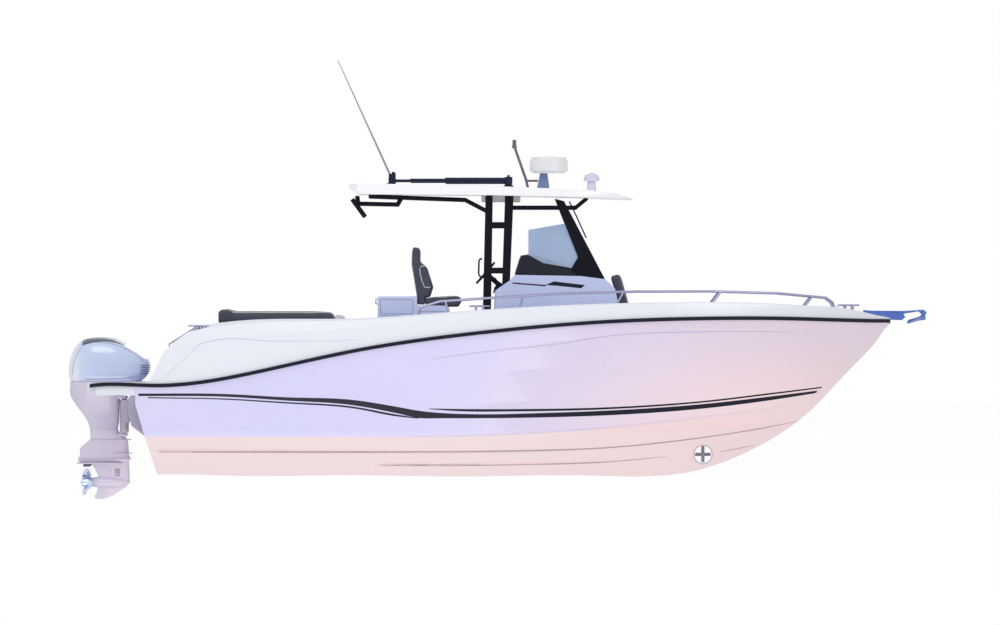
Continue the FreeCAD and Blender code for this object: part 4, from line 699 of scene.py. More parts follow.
# Finishes by the function that makes them: a name, a colour or a colour setting and its shade, and the rest
FINISHES = {
    painted: {
        "Deck moulding": ("deck", 1.0, {"level": 0.24, "spread": 0.06, "drift": 0.15, "worn": 0.95,
                                        "coat": 0.3}),
        # The console moulding is the white moulding in painted shade
        "Console moulding": ("inner", 1.0, {"level": 0.26, "spread": 0.06, "drift": 0.12, "worn": 0.95,
                                            "coat": 0.2}),
        "White moulding": ("top", 1.0, {"level": 0.22, "spread": 0.06, "drift": 0.12, "worn": 0.96,
                                        "coat": 0.3}),
        "Frame powder coat": ("black", 0.5, {"level": 0.42, "drift": 0.5, "worn": 1.1, "peel": 0.12,
                                             "gloss": 0.14}),
        "Black rubber": ("black", 1.0, {"level": 0.55, "spread": 0.1, "drift": 0.4, "worn": 1.9, "peel": 0.08,
                                        "gloss": 0.2}),
        "Stripe paint": ("black", 1.0, {"level": 0.3, "drift": 0.3, "worn": 1.5, "gloss": 0.25}),
        "Dash black": ("black", 1.0, {"level": 0.25, "spread": 0.05, "drift": 0.4, "worn": 1.6,
                                      "gloss": 0.3}),
        "Anodised dark": ("black", 2.2, {"level": 0.3, "metallic": 0.4, "drift": 0.4, "worn": 1.6,
                                         "gloss": 0.3}),
        "Black plastic": ("black", 1.0, {"level": 0.45, "peel": 0.1, "gloss": 0.25}),
        "Engine leg": ("engine", 1.0, {"level": 0.26, "drift": 0.4, "worn": 0.86, "coat": 0.2}),
        "Bracket paint": ("engine", 0.8, {"level": 0.32, "drift": 0.4, "worn": 0.8}),
        "Spray rail shadow": ((0.42, 0.30, 0.33), 1.0, {"level": 0.4, "drift": 0.6, "worn": 1.3}),
        # The two crease finishes are painted shade along knuckles, where the light on the moulding changes
        "Topside crease": ((0.50, 0.46, 0.62), 1.0, {"level": 0.3, "drift": 0.5, "worn": 1.25}),
        "Quarter crease": ((0.56, 0.56, 0.68), 1.0, {"level": 0.3, "drift": 0.5, "worn": 1.2}),
        "Tunnel ring": ((0.62, 0.55, 0.62), 1.0, {"level": 0.3}),
        "Seam dark": ((0.10, 0.11, 0.16), 1.0, {"level": 0.4}),
        "Screen glass": ((0.010, 0.014, 0.030), 1.0, {"level": 0.08, "spread": 0.03, "drift": 0.4,
                                                      "worn": 2.2, "coat": 0.4}),
        "Mast grey": ((0.13, 0.13, 0.17), 1.0, {"level": 0.3, "drift": 0.4, "worn": 1.6}),
        "Dome white": ((0.74, 0.72, 0.90), 1.0, {"level": 0.25}),
        "Grey whip": ((0.30, 0.30, 0.38), 1.0, {"level": 0.35}),
    },
    polished_steel: {
        "Stainless steel": ((0.62, 0.66, 0.78), 1.0, {"level": 0.16}),
        # The rail steel's dark blue is a painted reflection on polished steel
        "Rail steel": ((0.34, 0.35, 0.50), 1.0, {"level": 0.3}),
        "Blue-lit steel": ((0.09, 0.16, 0.47), 1.0, {"level": 0.28}),
        # The propeller's blue is a painted reflection of sky on polished steel
        "Propeller steel": ((0.55, 0.66, 0.86), 1.0, {"level": 0.14}),
    },
    upholstery: {
        "Upholstery grey": ("cushion", 1.0, {}),
        "Upholstery white": ("deck", 1.0, {}),
        "Piping": ("cushion", 0.6, {}),
        "Light piping": ("deck", 1.0, {}),
    },
}
OWN_FINISHES = {"Gelcoat": gelcoat, "Nonskid": nonskid, "Tinted glass": tinted_glass, "Cowl": cowl_paint,
                "Radar": radar_shell}


def finish(name):
    """The material of that name, made the first time that it is asked for."""
    found = bpy.data.materials.get(name)
    if found:
        return found
    for make, table in FINISHES.items():
        if name in table:
            colour, shade, values = table[name]
            if isinstance(colour, str):
                colour = getattr(colours(), colour)
            return make(name, shaded(colour, shade), **values)
    return OWN_FINISHES[name](name)


def paint_nodes(table):
    """Better finishes on frame nodes that stay."""
    for name, nodes in table.items():
        for node in nodes:
            item = NODES[node]
            for slot in item.material_slots:
                slot.material = finish(name)
            if not item.material_slots:
                item.data.materials.append(finish(name))


# Hull, deck and stripes

# Stripes on the topsides: length, height of the middle, width
MAIN_STRIPE = (
    (-4.292, 0.438, 0.030), (-3.217, 0.430, 0.034), (-2.546, 0.390, 0.040), (-1.646, 0.338, 0.066),
    (-1.178, 0.258, 0.078), (-0.865, 0.197, 0.088), (-0.592, 0.183, 0.063), (-0.201, 0.176, 0.050),
    (0.693, 0.190, 0.054), (1.428, 0.216, 0.058), (2.600, 0.296, 0.055), (3.381, 0.386, 0.047),
    (4.005, 0.471, 0.028))
LOWER_STRIPE = (
    (-4.178, 0.402, 0.013), (-3.217, 0.384, 0.015), (-2.546, 0.343, 0.018), (-1.646, 0.278, 0.022),
    (-1.178, 0.190, 0.024), (-0.872, 0.149, 0.008))
UPPER_STRIPE = (
    (-0.752, 0.266, 0.008), (-0.400, 0.251, 0.027), (0.300, 0.249, 0.028), (1.428, 0.273, 0.024),
    (2.600, 0.352, 0.020), (3.381, 0.442, 0.020), (4.070, 0.525, 0.016))
# Shadow lines under the spray rails
OUTER_RAIL = (
    (-4.050, -0.264, 0.014), (-1.000, -0.262, 0.016), (0.300, -0.250, 0.016), (1.428, -0.212, 0.016),
    (2.600, -0.087, 0.014), (3.300, 0.020, 0.011), (3.760, 0.108, 0.005))
INNER_RAIL = (
    (-1.360, -0.429, 0.005), (-1.100, -0.430, 0.014), (0.300, -0.422, 0.016), (1.428, -0.388, 0.014),
    (2.160, -0.322, 0.004))
FRONT_RAIL = ((2.775, -0.270, 0.004), (3.030, -0.225, 0.009), (3.240, -0.184, 0.004))
# Painted shade line along the soft knuckle of the topsides: length, height of the middle, width
TOPSIDE_KNUCKLE_SHADE = (
    (-0.865, 0.848, 0.003), (-0.135, 0.953, 0.010), (0.845, 1.062, 0.011), (1.428, 1.152, 0.010),
    (2.600, 1.204, 0.009), (3.750, 1.204, 0.003))
# Painted shade lines along the knuckles of the stern quarters: up the slope, then forward
QUARTER_KNUCKLE_SHADE = (
    (-3.960, 0.660, 0.007), (-3.700, 0.905, 0.008), (-3.540, 1.052, 0.009), (-3.430, 1.086, 0.009),
    (-2.600, 1.090, 0.008), (-1.520, 1.096, 0.003))
# Lines on each side: piece, material slot, the skin it lies on, finish, its tables
LINE_SETS = (
    ("side_stripes", "rub_rail_black", "hull", "Stripe paint", (MAIN_STRIPE, LOWER_STRIPE, UPPER_STRIPE)),
    ("spray_rail_shadows", "gelcoat_white", "hull", "Spray rail shadow",
     (OUTER_RAIL, INNER_RAIL, FRONT_RAIL)),
    ("topside_crease", "gelcoat_white", "hull", "Topside crease", (TOPSIDE_KNUCKLE_SHADE,)),
    ("quarter_crease", "gelcoat_deck", "quarters", "Quarter crease", (QUARTER_KNUCKLE_SHADE,)),
)
STRIPE_STEP = 0.03
# Ring round the thruster's tunnel: x and z of its centre, its inner and outer radius, how far it stands off
TUNNEL_CENTRE = (2.595, -0.299)
TUNNEL_RING = (0.106, 0.122)
RING_PROUD = 0.002
# A breadth outside the hull, from which the lines are carried inboard
OUTBOARD = 2.2
SIDES = (("port", 1), ("starboard", -1))
HULL_LENGTHS = ("stern_hull", "side_hull", "bow_hull")
QUARTER_DECKS = ("stern_deck", "starboard_gunwale", "port_gunwale")
HULL_FINISHES = {
    "Gelcoat": HULL_LENGTHS,
    "Deck moulding": QUARTER_DECKS + ("foredeck", "anchor_hatch", "transom_gate"),
    "Black rubber": ("stern_rub_rail", "side_rub_rail", "bow_rub_rail"),
    "Nonskid": ("cockpit_sole", "swim_platform"),
}


def laid_on(name, x, z, side, target, proud):
    """A thin skin over a moulding's side: point(i, j) = (x_ij, outboard, z_ij), carried inboard along
    Y onto the target and left a little proud of it."""
    points = np.stack([x, np.full(x.shape, side * OUTBOARD), z], axis=2)
    item = make_object(name, points, grid_faces(*x.shape, flip=side > 0))
    add_modifier(item, "SHRINKWRAP", "Lie on moulding", target=target, wrap_method="PROJECT",
                 use_project_x=False, use_project_y=True, use_project_z=False,
                 use_negative_direction=side > 0, use_positive_direction=side < 0, offset=proud)
    return apply_modifiers(item)


def stripe(name, table, side, target):
    """A stripe: at each length its middle and width come from the table, faired between its rows, and
    point(i, j) lies width_i * j above the middle, with j from -1/2 to 1/2."""
    x = np.arange(table[0][0], table[-1][0], STRIPE_STEP)
    middle, width = fairing(table, x).T
    share = np.linspace(-0.5, 0.5, 4)[None, :]
    return laid_on(name, x[:, None] + 0 * share, middle[:, None] + width[:, None] * share, side, target,
                   sizes().stripe_proud)


def ring_on(name, side, target):
    """The flat ring round the tunnel: point(i, j) = centre + radius_i * (cos a_j, sin a_j)."""
    radius = np.linspace(*TUNNEL_RING, 4)[:, None]
    angle = np.linspace(0, 2 * math.pi, 49)[None, :]
    x, z = (centre + radius * wave for centre, wave in zip(TUNNEL_CENTRE, (np.cos(angle), np.sin(angle))))
    item = laid_on(name, x, z, side, target, RING_PROUD)
    face_outwards(item)
    return item


def joined_lengths(name, nodes):
    """One skin from the lengths of a moulding: copies put together, without the faces of their joints."""
    work = bmesh.new()
    for node in nodes:
        work.from_mesh(NODES[node].data)
    joints = {round(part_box(node)[1][0], 4) for node in nodes[:-1]}
    hidden = [face for face in work.faces if abs(face.normal.x) > 0.999 and any(
        all(abs(vertex.co.x - joint) < 1e-4 for vertex in face.verts) for joint in joints)]
    bmesh.ops.delete(work, geom=hidden, context="FACES")
    bmesh.ops.remove_doubles(work, verts=work.verts, dist=2 * MERGE)
    item = make_object(name, [(0, 0, 0)], [])
    work.to_mesh(item.data)
    work.free()
    shade_smooth(item)
    item.data.set_sharp_from_angle(angle=SHARP)
    return item


def build_hull():
    """Gelcoat on the hull, moulding and nonskid on the decks, rubber on the rail; then each side's stripes,
    painted shadows of the spray rails, painted shade lines along the knuckles, and the ring round the
    thruster's tunnel."""
    paint_nodes(HULL_FINISHES)
    skins = {"hull": joined_lengths("hull_for_stripes", HULL_LENGTHS),
             "quarters": joined_lengths("deck_for_creases", QUARTER_DECKS)}
    for side_name, side in SIDES:
        for label, slot, skin, paint, tables in LINE_SETS:
            lines = [stripe(f"{label}_{number}", table, side, skins[skin])
                     for number, table in enumerate(tables)]
            finish_piece(join_objects(f"{side_name}_{label}", lines), "hull", paint)
        finish_piece(ring_on(f"{side_name}_tunnel_ring", side, skins["hull"]), "hull",
                     "Tunnel ring")
    for skin in skins.values():
        bpy.data.objects.remove(skin)


# Cushions

# Soft nodes: node, body, material slot, size of the skin's cells, share of the most that a skin swells
CUSHIONS = (
    ("sunpad_cushion", "sunpad_lid", "upholstery_grey", 0.020, 1.0),
    ("aft_backrest", "hull", "upholstery_white", 0.014, 0.7),
    ("helm_seat_cushions", "hull", "upholstery_grey", 0.010, 0.8),
    ("helm_seat_backs", "hull", "upholstery_grey", 0.012, 0.8),
    ("console_seat_cushions", "hull", "upholstery_grey", 0.013, 0.9),
    ("bow_cushions", "hull", "upholstery_grey", 0.018, 0.9),
)
CLOTH_FRAMES = 20
WELT_REACH = 0.3
# Light piping round the padding of a helm seat's back, in x, z
BACK_PIPING = ((-0.800, 2.012), (-0.845, 2.010), (-0.872, 1.973), (-0.862, 1.900), (-0.842, 1.820),
               (-0.812, 1.748), (-0.735, 1.743))


def soft_start(node, cell):
    """The skin that a cushion starts from: the node's form in even cells, its edges relaxed."""
    item = node_copy(node, node + "_soft")
    face_outwards(item)
    add_modifier(item, "REMESH", "Even skin", mode="VOXEL", voxel_size=cell, use_smooth_shade=True)
    add_modifier(item, "SMOOTH", "Relaxed edges", factor=0.5, iterations=6)
    return apply_modifiers(item)


def filled_by_cloth(item):
    """Places of a skin's points after cloth under pressure has moved them for a few frames."""
    cloth = item.modifiers.new("Filling", "CLOTH")
    cloth.settings.use_pressure = True
    cloth.settings.uniform_pressure_force = 4.0
    cloth.settings.effector_weights.gravity = 0.0
    cloth.settings.quality = 4
    cloth.settings.mass = 0.4
    cloth.collision_settings.use_collision = False
    cloth.point_cache.frame_start = 1
    cloth.point_cache.frame_end = CLOTH_FRAMES
    for frame_number in range(1, CLOTH_FRAMES + 1):
        bpy.context.scene.frame_set(frame_number)
    apply_modifiers(item)
    bpy.context.scene.frame_set(1)
    return positions(item)


def swell(item, most):
    """Fill a cushion, with each point held within `most` of its start."""
    start = positions(item)
    filled = filled_by_cloth(item)
    move = filled - start
    length = np.linalg.norm(move, axis=1)[:, None]
    move *= np.minimum(1.0, most / np.maximum(length, 1e-9))
    item.data.vertices.foreach_set("co", (start + move).ravel())
    item.data.update()


def soften_cushion(node, body, slot, cell, share):
    """One cushion piece in place of its plain solid."""
    item = soft_start(node, cell)
    swell(item, sizes().cushion_swell * share)
    add_modifier(item, "SUBSURF", "Even skin", levels=1, render_levels=1)
    apply_modifiers(item)
    shade_smooth(item)
    finish_piece(item, body, slot.replace("_", " ").capitalize(), (node,))
    return item


def welt(name, item, path, radius):
    """Piping sewn along a cushion: a round cord that lies on its skin along a path."""
    resting = []
    for target in path:
        found, place, normal, _ = item.closest_point_on_mesh(Vector(target), distance=WELT_REACH)
        if not found:
            raise RuntimeError(f"{name} is too far from its cushion")
        resting.append(place + normal * radius * 0.4)
    return sweep(name, resting, radius, around=8)


def dense(corners, step=0.03):
    """Points no further apart than a step along straight runs between corners."""
    corners = np.asarray(corners, dtype=float)
    parts = []
    for start, end in zip(corners, corners[1:]):
        count = max(2, int(np.linalg.norm(end - start) / step))
        parts.append(start + np.linspace(0, 1, count, endpoint=False)[:, None] * (end - start))
    return np.concatenate(parts + [corners[-1:]])


def build_cushions():
    """All cushions, with piping along their top edges and seams across the long ones."""
    made = {row[0]: soften_cushion(*row) for row in CUSHIONS}

    def sewn(name, node, *corners, radius=0.004):
        """Piping along straight runs on one of the cushions."""
        return welt(name, made[node], dense(corners), radius)

    low, high = (Vector(corner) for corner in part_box("sunpad_cushion"))
    front, head = high.x - 0.02, low.x + 0.168
    pad = [sewn(f"sunpad_welt_{y:.1f}", "sunpad_cushion", (low.x + 0.2, y, high.z - 0.04),
                (front, y, high.z - 0.04)) for y in (low.y + 0.012, high.y - 0.012)]
    for share in (0.33, 0.67):
        y = low.y + share * (high.y - low.y)
        pad.append(sewn(f"sunpad_seam_{share}", "sunpad_cushion", (low.x + 0.19, y, high.z),
                        (front, y, high.z)))
    pad.append(sewn("sunpad_head_seam", "sunpad_cushion", (head, low.y + 0.01, high.z - 0.03),
                    (head, high.y - 0.01, high.z - 0.03)))
    low, high = (Vector(corner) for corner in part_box("helm_seat_cushions"))
    seats = [sewn(f"helm_seat_welt_{y:.1f}", "helm_seat_cushions", (low.x + 0.10, y, high.z - 0.012),
                  (high.x - 0.05, y, high.z - 0.006), (high.x, y, high.z - 0.05))
             for y in (-0.1, 0.1, low.y + 0.006, high.y - 0.006)]
    low, high = (Vector(corner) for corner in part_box("helm_seat_backs"))
    backs = [sewn(f"helm_back_piping_{y:.1f}", "helm_seat_backs", *((x, y, z) for x, z in BACK_PIPING),
                  radius=0.006) for y in (low.y, high.y)]
    finish_piece(join_objects("helm_back_piping", backs), "hull", "Light piping")
    finish_piece(join_objects("cushion_piping_sunpad_lid", pad), "sunpad_lid", "Piping")
    finish_piece(join_objects("cushion_piping_hull", seats), "hull", "Piping")


# Mouldings

# Mouldings that get rounded edges: node, body, radius of the edge, material slot, finish
MOULDED = (
    # The console, its door, the leaning post and the console seat's base take the moulding with painted shade
    ("console", "hull", 0.014, "gelcoat_deck", "Console moulding"),
    ("console_door", "console_door", 0.006, "gelcoat_deck", "Console moulding"),
    ("leaning_post", "hull", 0.012, "gelcoat_deck", "Console moulding"),
    ("sunpad_base", "hull", 0.012, "gelcoat_deck", "Deck moulding"),
    ("sunpad_lid", "sunpad_lid", 0.010, "gelcoat_deck", "Deck moulding"),
    ("console_seat_base", "hull", 0.016, "gelcoat_deck", "Console moulding"),
    ("bow_seat_base", "hull", 0.014, "gelcoat_deck", "Deck moulding"),
    ("hardtop", "hull", 0.022, "gelcoat_white", "White moulding"),
    ("dash_hood", "hull", 0.012, "dash_black", "Dash black"),
)


def build_mouldings():
    """Rounded copies of the glass fibre mouldings and of the dash hood."""
    for node, body, width, slot, paint in MOULDED:
        finish_piece(moulded_copy(node, node + "_moulded", width), body, paint, (node,))


# Engines

# Sections of the cowl and of the leg at engine centre: height, aft end, forward end, half width, squareness
COWL = (
    (0.600, -5.140, -4.290, 0.215, 3.2), (0.640, -5.158, -4.240, 0.246, 3.1),
    (0.762, -5.163, -4.186, 0.270, 2.9), (0.879, -5.146, -4.214, 0.272, 2.7),
    (0.972, -5.112, -4.330, 0.256, 2.6), (1.040, -5.066, -4.440, 0.226, 2.5),
    (1.090, -5.006, -4.528, 0.176, 2.4), (1.122, -4.930, -4.620, 0.114, 2.3),
    (1.137, -4.830, -4.740, 0.020, 2.0))
LEG = (
    (0.590, -5.140, -4.556, 0.196, 3.0), (0.500, -5.152, -4.553, 0.188, 2.8),
    (0.410, -5.138, -4.553, 0.164, 2.6), (0.300, -5.068, -4.556, 0.122, 2.4),
    (0.100, -4.930, -4.562, 0.088, 2.3), (-0.020, -4.902, -4.566, 0.078, 2.3),
    (-0.060, -4.900, -4.530, 0.074, 2.3), (-0.105, -4.902, -4.470, 0.070, 2.3),
    (-0.160, -4.958, -4.452, 0.069, 2.2), (-0.215, -5.018, -4.446, 0.069, 2.2),
    (-0.300, -5.026, -4.442, 0.066, 2.2), (-0.388, -5.030, -4.440, 0.060, 2.2),
    (-0.402, -5.000, -4.460, 0.044, 2.2))
GEARCASE = (
    (-0.396, -4.900, -4.442, 0.050, 2.2), (-0.470, -4.846, -4.437, 0.040, 2.2),
    (-0.560, -4.802, -4.434, 0.042, 2.2), (-0.640, -4.797, -4.438, 0.042, 2.2),
    (-0.700, -4.806, -4.480, 0.022, 2.0), (-0.760, -4.822, -4.572, 0.012, 2.0),
    (-0.830, -4.838, -4.700, 0.006, 2.0), (-0.842, -4.820, -4.745, 0.004, 2.0))
# Lips round the leg: height, aft end, forward end, half width, thickness
LEG_LIPS = ((-0.404, -5.071, -4.500, 0.130, 0.016), (-0.118, -4.912, -4.410, 0.080, 0.010),
            (-0.285, -4.700, -4.392, 0.074, 0.008), (-0.348, -5.034, -4.400, 0.086, 0.008))
# Torpedo of the gearcase and the propeller's hub: distance along the shaft, radius
TORPEDO = ((-4.428, 0.002), (-4.436, 0.022), (-4.460, 0.038), (-4.510, 0.056), (-4.600, 0.069),
           (-4.700, 0.072), (-4.800, 0.066), (-4.868, 0.057), (-4.868, 0.030))
HUB = ((-4.874, 0.020), (-4.874, 0.057), (-4.930, 0.062), (-4.985, 0.056), (-5.004, 0.060), (-5.004, 0.052),
       (-4.960, 0.046), (-4.960, 0.016), (-5.016, 0.013), (-5.022, 0.004))
SHAFT_Z = -0.637
BLADE_X = -4.938
BLADE_ROOT = 0.050
BLADE_TIP = 0.172
BLADE_THICK = 0.005
BLADE_PITCH = 0.42
BLADES = 3
# Length of the steering pin, and how far each engine stands from the middle
STEER_X = -4.492
ENGINE_OUT = 0.370
# Pan under the cowl, in the leg's measures; the pin's radius and height; yokes in the lips' measures
PAN = ((0.599, -5.142, -4.250, 0.205, 3.0), (0.590, -5.150, -4.242, 0.212, 3.0),
       (0.575, -5.150, -4.246, 0.208, 3.0), (0.568, -5.140, -4.262, 0.196, 3.0))
PIN = ((0.0, -0.060), (0.024, -0.060), (0.024, 0.410), (0.0, 0.410))
YOKES = ((0.401, STEER_X - 0.260, STEER_X + 0.040, 0.080, 0.038),
         (-0.059, STEER_X - 0.130, STEER_X + 0.040, 0.055, 0.038))
TRIM_TAB = (-0.430, -4.990, -4.900, 0.012, 0.036)
# Louvres low on the cowl's face: lowest height, pitch; and water inlets of the leg: lowest height, pitch
LOUVRES = 5
LOUVRE_FOOT, LOUVRE_PITCH = 0.690, 0.026
INLETS = 5
INLET_HEAD, INLET_PITCH = -0.475, 0.020
# Least share of a rounded ring's reach, which keeps its power finite
LEAST = 1e-6


def rounded_ring(aft, front, half, power, turn):
    """A level ring: x = middle + reach * c|c|^(2/p - 1), y = half * s|s|^(2/p - 1), for the cosine c and the
    sine s of each angle in turn."""
    c, s = np.cos(turn), np.sin(turn)
    exponent = 2.0 / power - 1.0
    x = (front + aft) / 2 + (front - aft) / 2 * c * np.maximum(np.abs(c), LEAST) ** exponent
    y = half * s * np.maximum(np.abs(s), LEAST) ** exponent
    return x, y


def housing(name, table, y_centre, step=0.012, around=96):
    """A cowl or leg through level rings whose four measures change smoothly with height."""
    table = np.array(sorted(table))
    heights = np.unique(np.concatenate([np.arange(table[0, 0], table[-1, 0], step), table[:, 0]]))
    points = np.empty((len(heights), around, 3))
    for ring, z, (aft, front, half, power) in zip(points, heights, fairing(table, heights)):
        x, y = rounded_ring(aft, front, max(half, 0.002), power, full_turn(around))
        ring[:, 0], ring[:, 1], ring[:, 2] = x, y + y_centre, z
    return grid_object(name, points)


def lip(name, row, y_centre, around=72):
    """A level plate round the leg with rounded edges: rings drawn in by a share of its thickness."""
    z, aft, front, half, thick = row
    rings = []
    for inset, height in ((0.4, -0.5), (0.0, -0.2), (0.0, 0.2), (0.4, 0.5)):
        edge = inset * thick
        x, y = rounded_ring(aft + edge, front - edge, half - edge, 2.6, full_turn(around))
        rings.append(np.stack([x, y + y_centre, np.full(around, z + height * thick)], axis=1))
    return grid_object(name, np.array(rings))


def along_shaft(name, table, y_centre):
    """A turned piece about the propeller's shaft, from (length, radius) rows."""
    return revolve(name, [(radius, x) for x, radius in table], (0, y_centre, SHAFT_Z), axis=(1, 0, 0))


def blade(name, y_centre, start):
    """One propeller blade: point(r, s) at angle start + s * w(r) and length s * w(r) * pitch / 2 pi, with w
    the blade's half width as an angle, widest near its middle, and the tip swept back."""
    radius = np.linspace(BLADE_ROOT, BLADE_TIP, 18)[:, None]
    share = np.linspace(-1, 1, 21)[None, :]
    reach = (radius - BLADE_ROOT) / (BLADE_TIP - BLADE_ROOT)
    spread = share * 0.62 * np.sqrt(np.clip(1 - ((reach - 0.45) / 0.58) ** 2, 0.03, 1))
    angle = start + spread + 0.25 * reach ** 2
    camber = BLADE_THICK / 2 * (1 - 0.85 * share ** 2) * (1 - 0.6 * reach)
    middle = BLADE_X - BLADE_PITCH / (2 * math.pi) * spread - 0.03 * reach
    faces = [np.stack([middle + side * camber, y_centre + radius * np.cos(angle),
                       SHAFT_Z + radius * np.sin(angle)], axis=-1) for side in (1, -1)]
    return grid_object(name, np.concatenate([faces[0], faces[1][:, ::-1]], axis=1))


def cowl_half(x, z):
    """Half width of the cowl at a length and height."""
    aft, front, half, power = fairing(COWL, [max(z, COWL[0][0])])[0]
    share = min(1.0, abs((x - (aft + front) / 2) / ((front - aft) / 2)))
    return half * (1 - share ** power) ** (1 / power)


# Seams of the cowl as seen from the side: length, height
COWL_SEAMS = (
    ((-4.962, 1.060), (-5.040, 0.960), (-5.086, 0.860), (-5.112, 0.740), (-5.118, 0.625)),
    ((-4.962, 1.060), (-4.860, 1.077), (-4.720, 1.070), (-4.588, 1.046), (-4.470, 1.000), (-4.340, 0.925),
     (-4.252, 0.850)),
    ((-5.118, 0.625), (-4.900, 0.622), (-4.650, 0.628), (-4.440, 0.644), (-4.290, 0.660)),
)


def build_cowl(side, y_centre):
    """One cowl with its seams, and the louvres low on its forward face."""
    finish_piece(housing(f"{side}_cowl", COWL, y_centre), f"{side}_engine", "Cowl",
                 (f"{side}_engine_cowl",))
    seams = []
    for number, seam in enumerate(COWL_SEAMS):
        for hand in (1, -1):
            flat = rounded_path([(x, 0, z) for x, z in seam], 0.05)
            path = [(x, y_centre + hand * (cowl_half(x, z) - 0.0005), z) for x, _, z in flat]
            seams.append(sweep(f"seam_{number}_{hand}", path, 0.0028, around=8))
    turn = np.linspace(-0.75, 0.75, 15)
    for number in range(LOUVRES):
        z = LOUVRE_FOOT + LOUVRE_PITCH * number
        x, y = rounded_ring(*fairing(COWL, [z])[0], turn)
        path = np.stack([x + 0.001, y + y_centre, np.full(len(x), z)], axis=1)
        seams.append(sweep(f"louvre_{number}", path, 0.005, around=8))
    finish_piece(join_objects(f"{side}_cowl_seams", seams), f"{side}_engine", "Seam dark")


def build_leg(side, y_centre):
    """One leg with pan, lips, gearcase, skeg, steering pin and yokes; then its inlets and trim tab."""
    parts = [housing(f"{side}_pan", PAN, y_centre, step=0.004), housing(f"{side}_mid", LEG, y_centre),
             housing(f"{side}_gearcase", GEARCASE, y_centre),
             along_shaft(f"{side}_torpedo", TORPEDO, y_centre),
             revolve(f"{side}_pin", PIN, (STEER_X, y_centre, 0.0))]
    parts += [lip(f"{side}_lip_{number}", row, y_centre) for number, row in enumerate(LEG_LIPS + YOKES)]
    finish_piece(join_objects(f"{side}_leg", parts), f"{side}_engine", "Engine leg",
                 (f"{side}_engine_leg",))
    trim = [lip(f"{side}_tab", TRIM_TAB, y_centre)]
    for hand in (1, -1):
        for number in range(INLETS):
            y, z = y_centre + hand * 0.040, INLET_HEAD - INLET_PITCH * number
            path = np.linspace((-4.60, y, z), (-4.54, y, z), 4)
            trim.append(sweep(f"inlet_{hand}_{number}", path, 0.0035, around=8))
    finish_piece(join_objects(f"{side}_leg_trim", trim), f"{side}_engine", "Seam dark")


def build_propeller(side, y_centre):
    """Hub and three blades."""
    parts = [along_shaft(f"{side}_hub", HUB, y_centre)]
    parts += [blade(f"{side}_blade_{number}", y_centre, math.pi / 2 + 0.25 + angle)
              for number, angle in enumerate(full_turn(BLADES))]
    finish_piece(join_objects(f"{side}_propeller_wheel", parts), f"{side}_propeller",
                 "Propeller steel", (f"{side}_propeller",))


def build_engines():
    """Both engines and the brackets that hold them."""
    for side, hand in SIDES:
        y_centre = hand * ENGINE_OUT
        build_cowl(side, y_centre)
        build_leg(side, y_centre)
        build_propeller(side, y_centre)
        finish_piece(moulded_copy(f"{side}_swivel_bracket", f"{side}_swivel", 0.006), f"{side}_tilt",
                     "Bracket paint", (f"{side}_swivel_bracket",))
    finish_piece(moulded_copy("clamp_brackets", "clamps", 0.005), "hull", "Bracket paint",
                 ("clamp_brackets",))


# Fittings

# Outlines in x, z on the console's sides
ACCENTS = (((0.263, 1.807), (0.668, 1.776), (0.668, 1.759), (0.263, 1.791)),
           ((0.668, 1.776), (0.767, 1.819), (1.149, 1.775), (1.100, 1.735), (0.830, 1.764)))
# Gap round a panel's front, and how far plates stand proud
PANEL_GAP = 0.005
PROUD = 0.0025
# Panels on the leaning post's sides: x, z, half length, half height; and half the post's breadth
POST_PANELS = ((-1.150, 1.31, 0.195, 0.085), (-1.150, 1.51, 0.195, 0.085), (-0.715, 1.30, 0.150, 0.150))
POST_HALF = 0.620
# Screens on the dash: x and z of their centres, y of each, half height and breadth, and the hood's rise
SCREEN_PLACE = (0.3225, 2.015)
SCREENS_Y = (-0.30, 0.16)
SCREEN_HALF = (0.095, 0.195)
HOOD_RISE = (0.072, 0.235)
# Rods of both sides: piece, material slot, finish, half their spread, bend, radius, points round, and x and z
RODS = (
    ("post_handles", "stainless", "Stainless steel", 0.45, 0.012, 0.006, 12,
     ((-1.384, 1.545), (-1.412, 1.545), (-1.412, 1.605), (-1.384, 1.605))),
    ("grab_loops", "frame_black", "Frame powder coat", 0.6025, 0.03, 0.010, 16,
     ((-0.110, 2.100), (-0.147, 2.085), (-0.152, 1.900), (-0.110, 1.860))),
    ("quarter_rails", "stainless", "Rail steel", 1.300, 0.02, 0.009, 16,
     ((-3.905, 1.020), (-3.925, 1.052), (-3.560, 1.282), (-3.535, 1.232))),
)
WIPER_ARM = ((0.955, -0.28, 2.800), (1.035, -0.28, 2.640), (1.165, -0.28, 2.350))
WIPER_BLADE = ((0.930, -0.10, 2.700), (1.190, -0.46, 2.215))
# Finishes of the fittings that stay as they are
FITTING_FINISHES = {
    "Frame powder coat": ("hardtop_frame", "windscreen_frame", "rod_holders"),
    "Tinted glass": ("windscreen_glass", "side_glasses"),
    "Mast grey": ("light_mast",),
    "Anodised dark": ("outrigger_bases", "port_outrigger", "starboard_outrigger", "antenna_mount"),
    "Rail steel": ("bow_rails", "cleats"),
    "Blue-lit steel": ("bow_roller", "anchor"),
    "Radar": ("radar",),
    "Dome white": ("small_dome",),
    "Grey whip": ("antenna", "thruster_leg", "thruster_propeller"),
    "Black plastic": ("helm_wheel", "helm_column", "throttle"),
}


def side_plate(name, outline, near, far):
    """A flat plate: its outline in x, z carried from one breadth to another."""
    corners = np.asarray(outline, dtype=float)
    points = np.empty((2, len(corners), 3))
    points[:, :, 0] = corners[:, 0]
    points[:, :, 2] = corners[:, 1]
    points[:, :, 1] = np.array([near, far])[:, None]
    return grid_object(name, points, smooth=False)


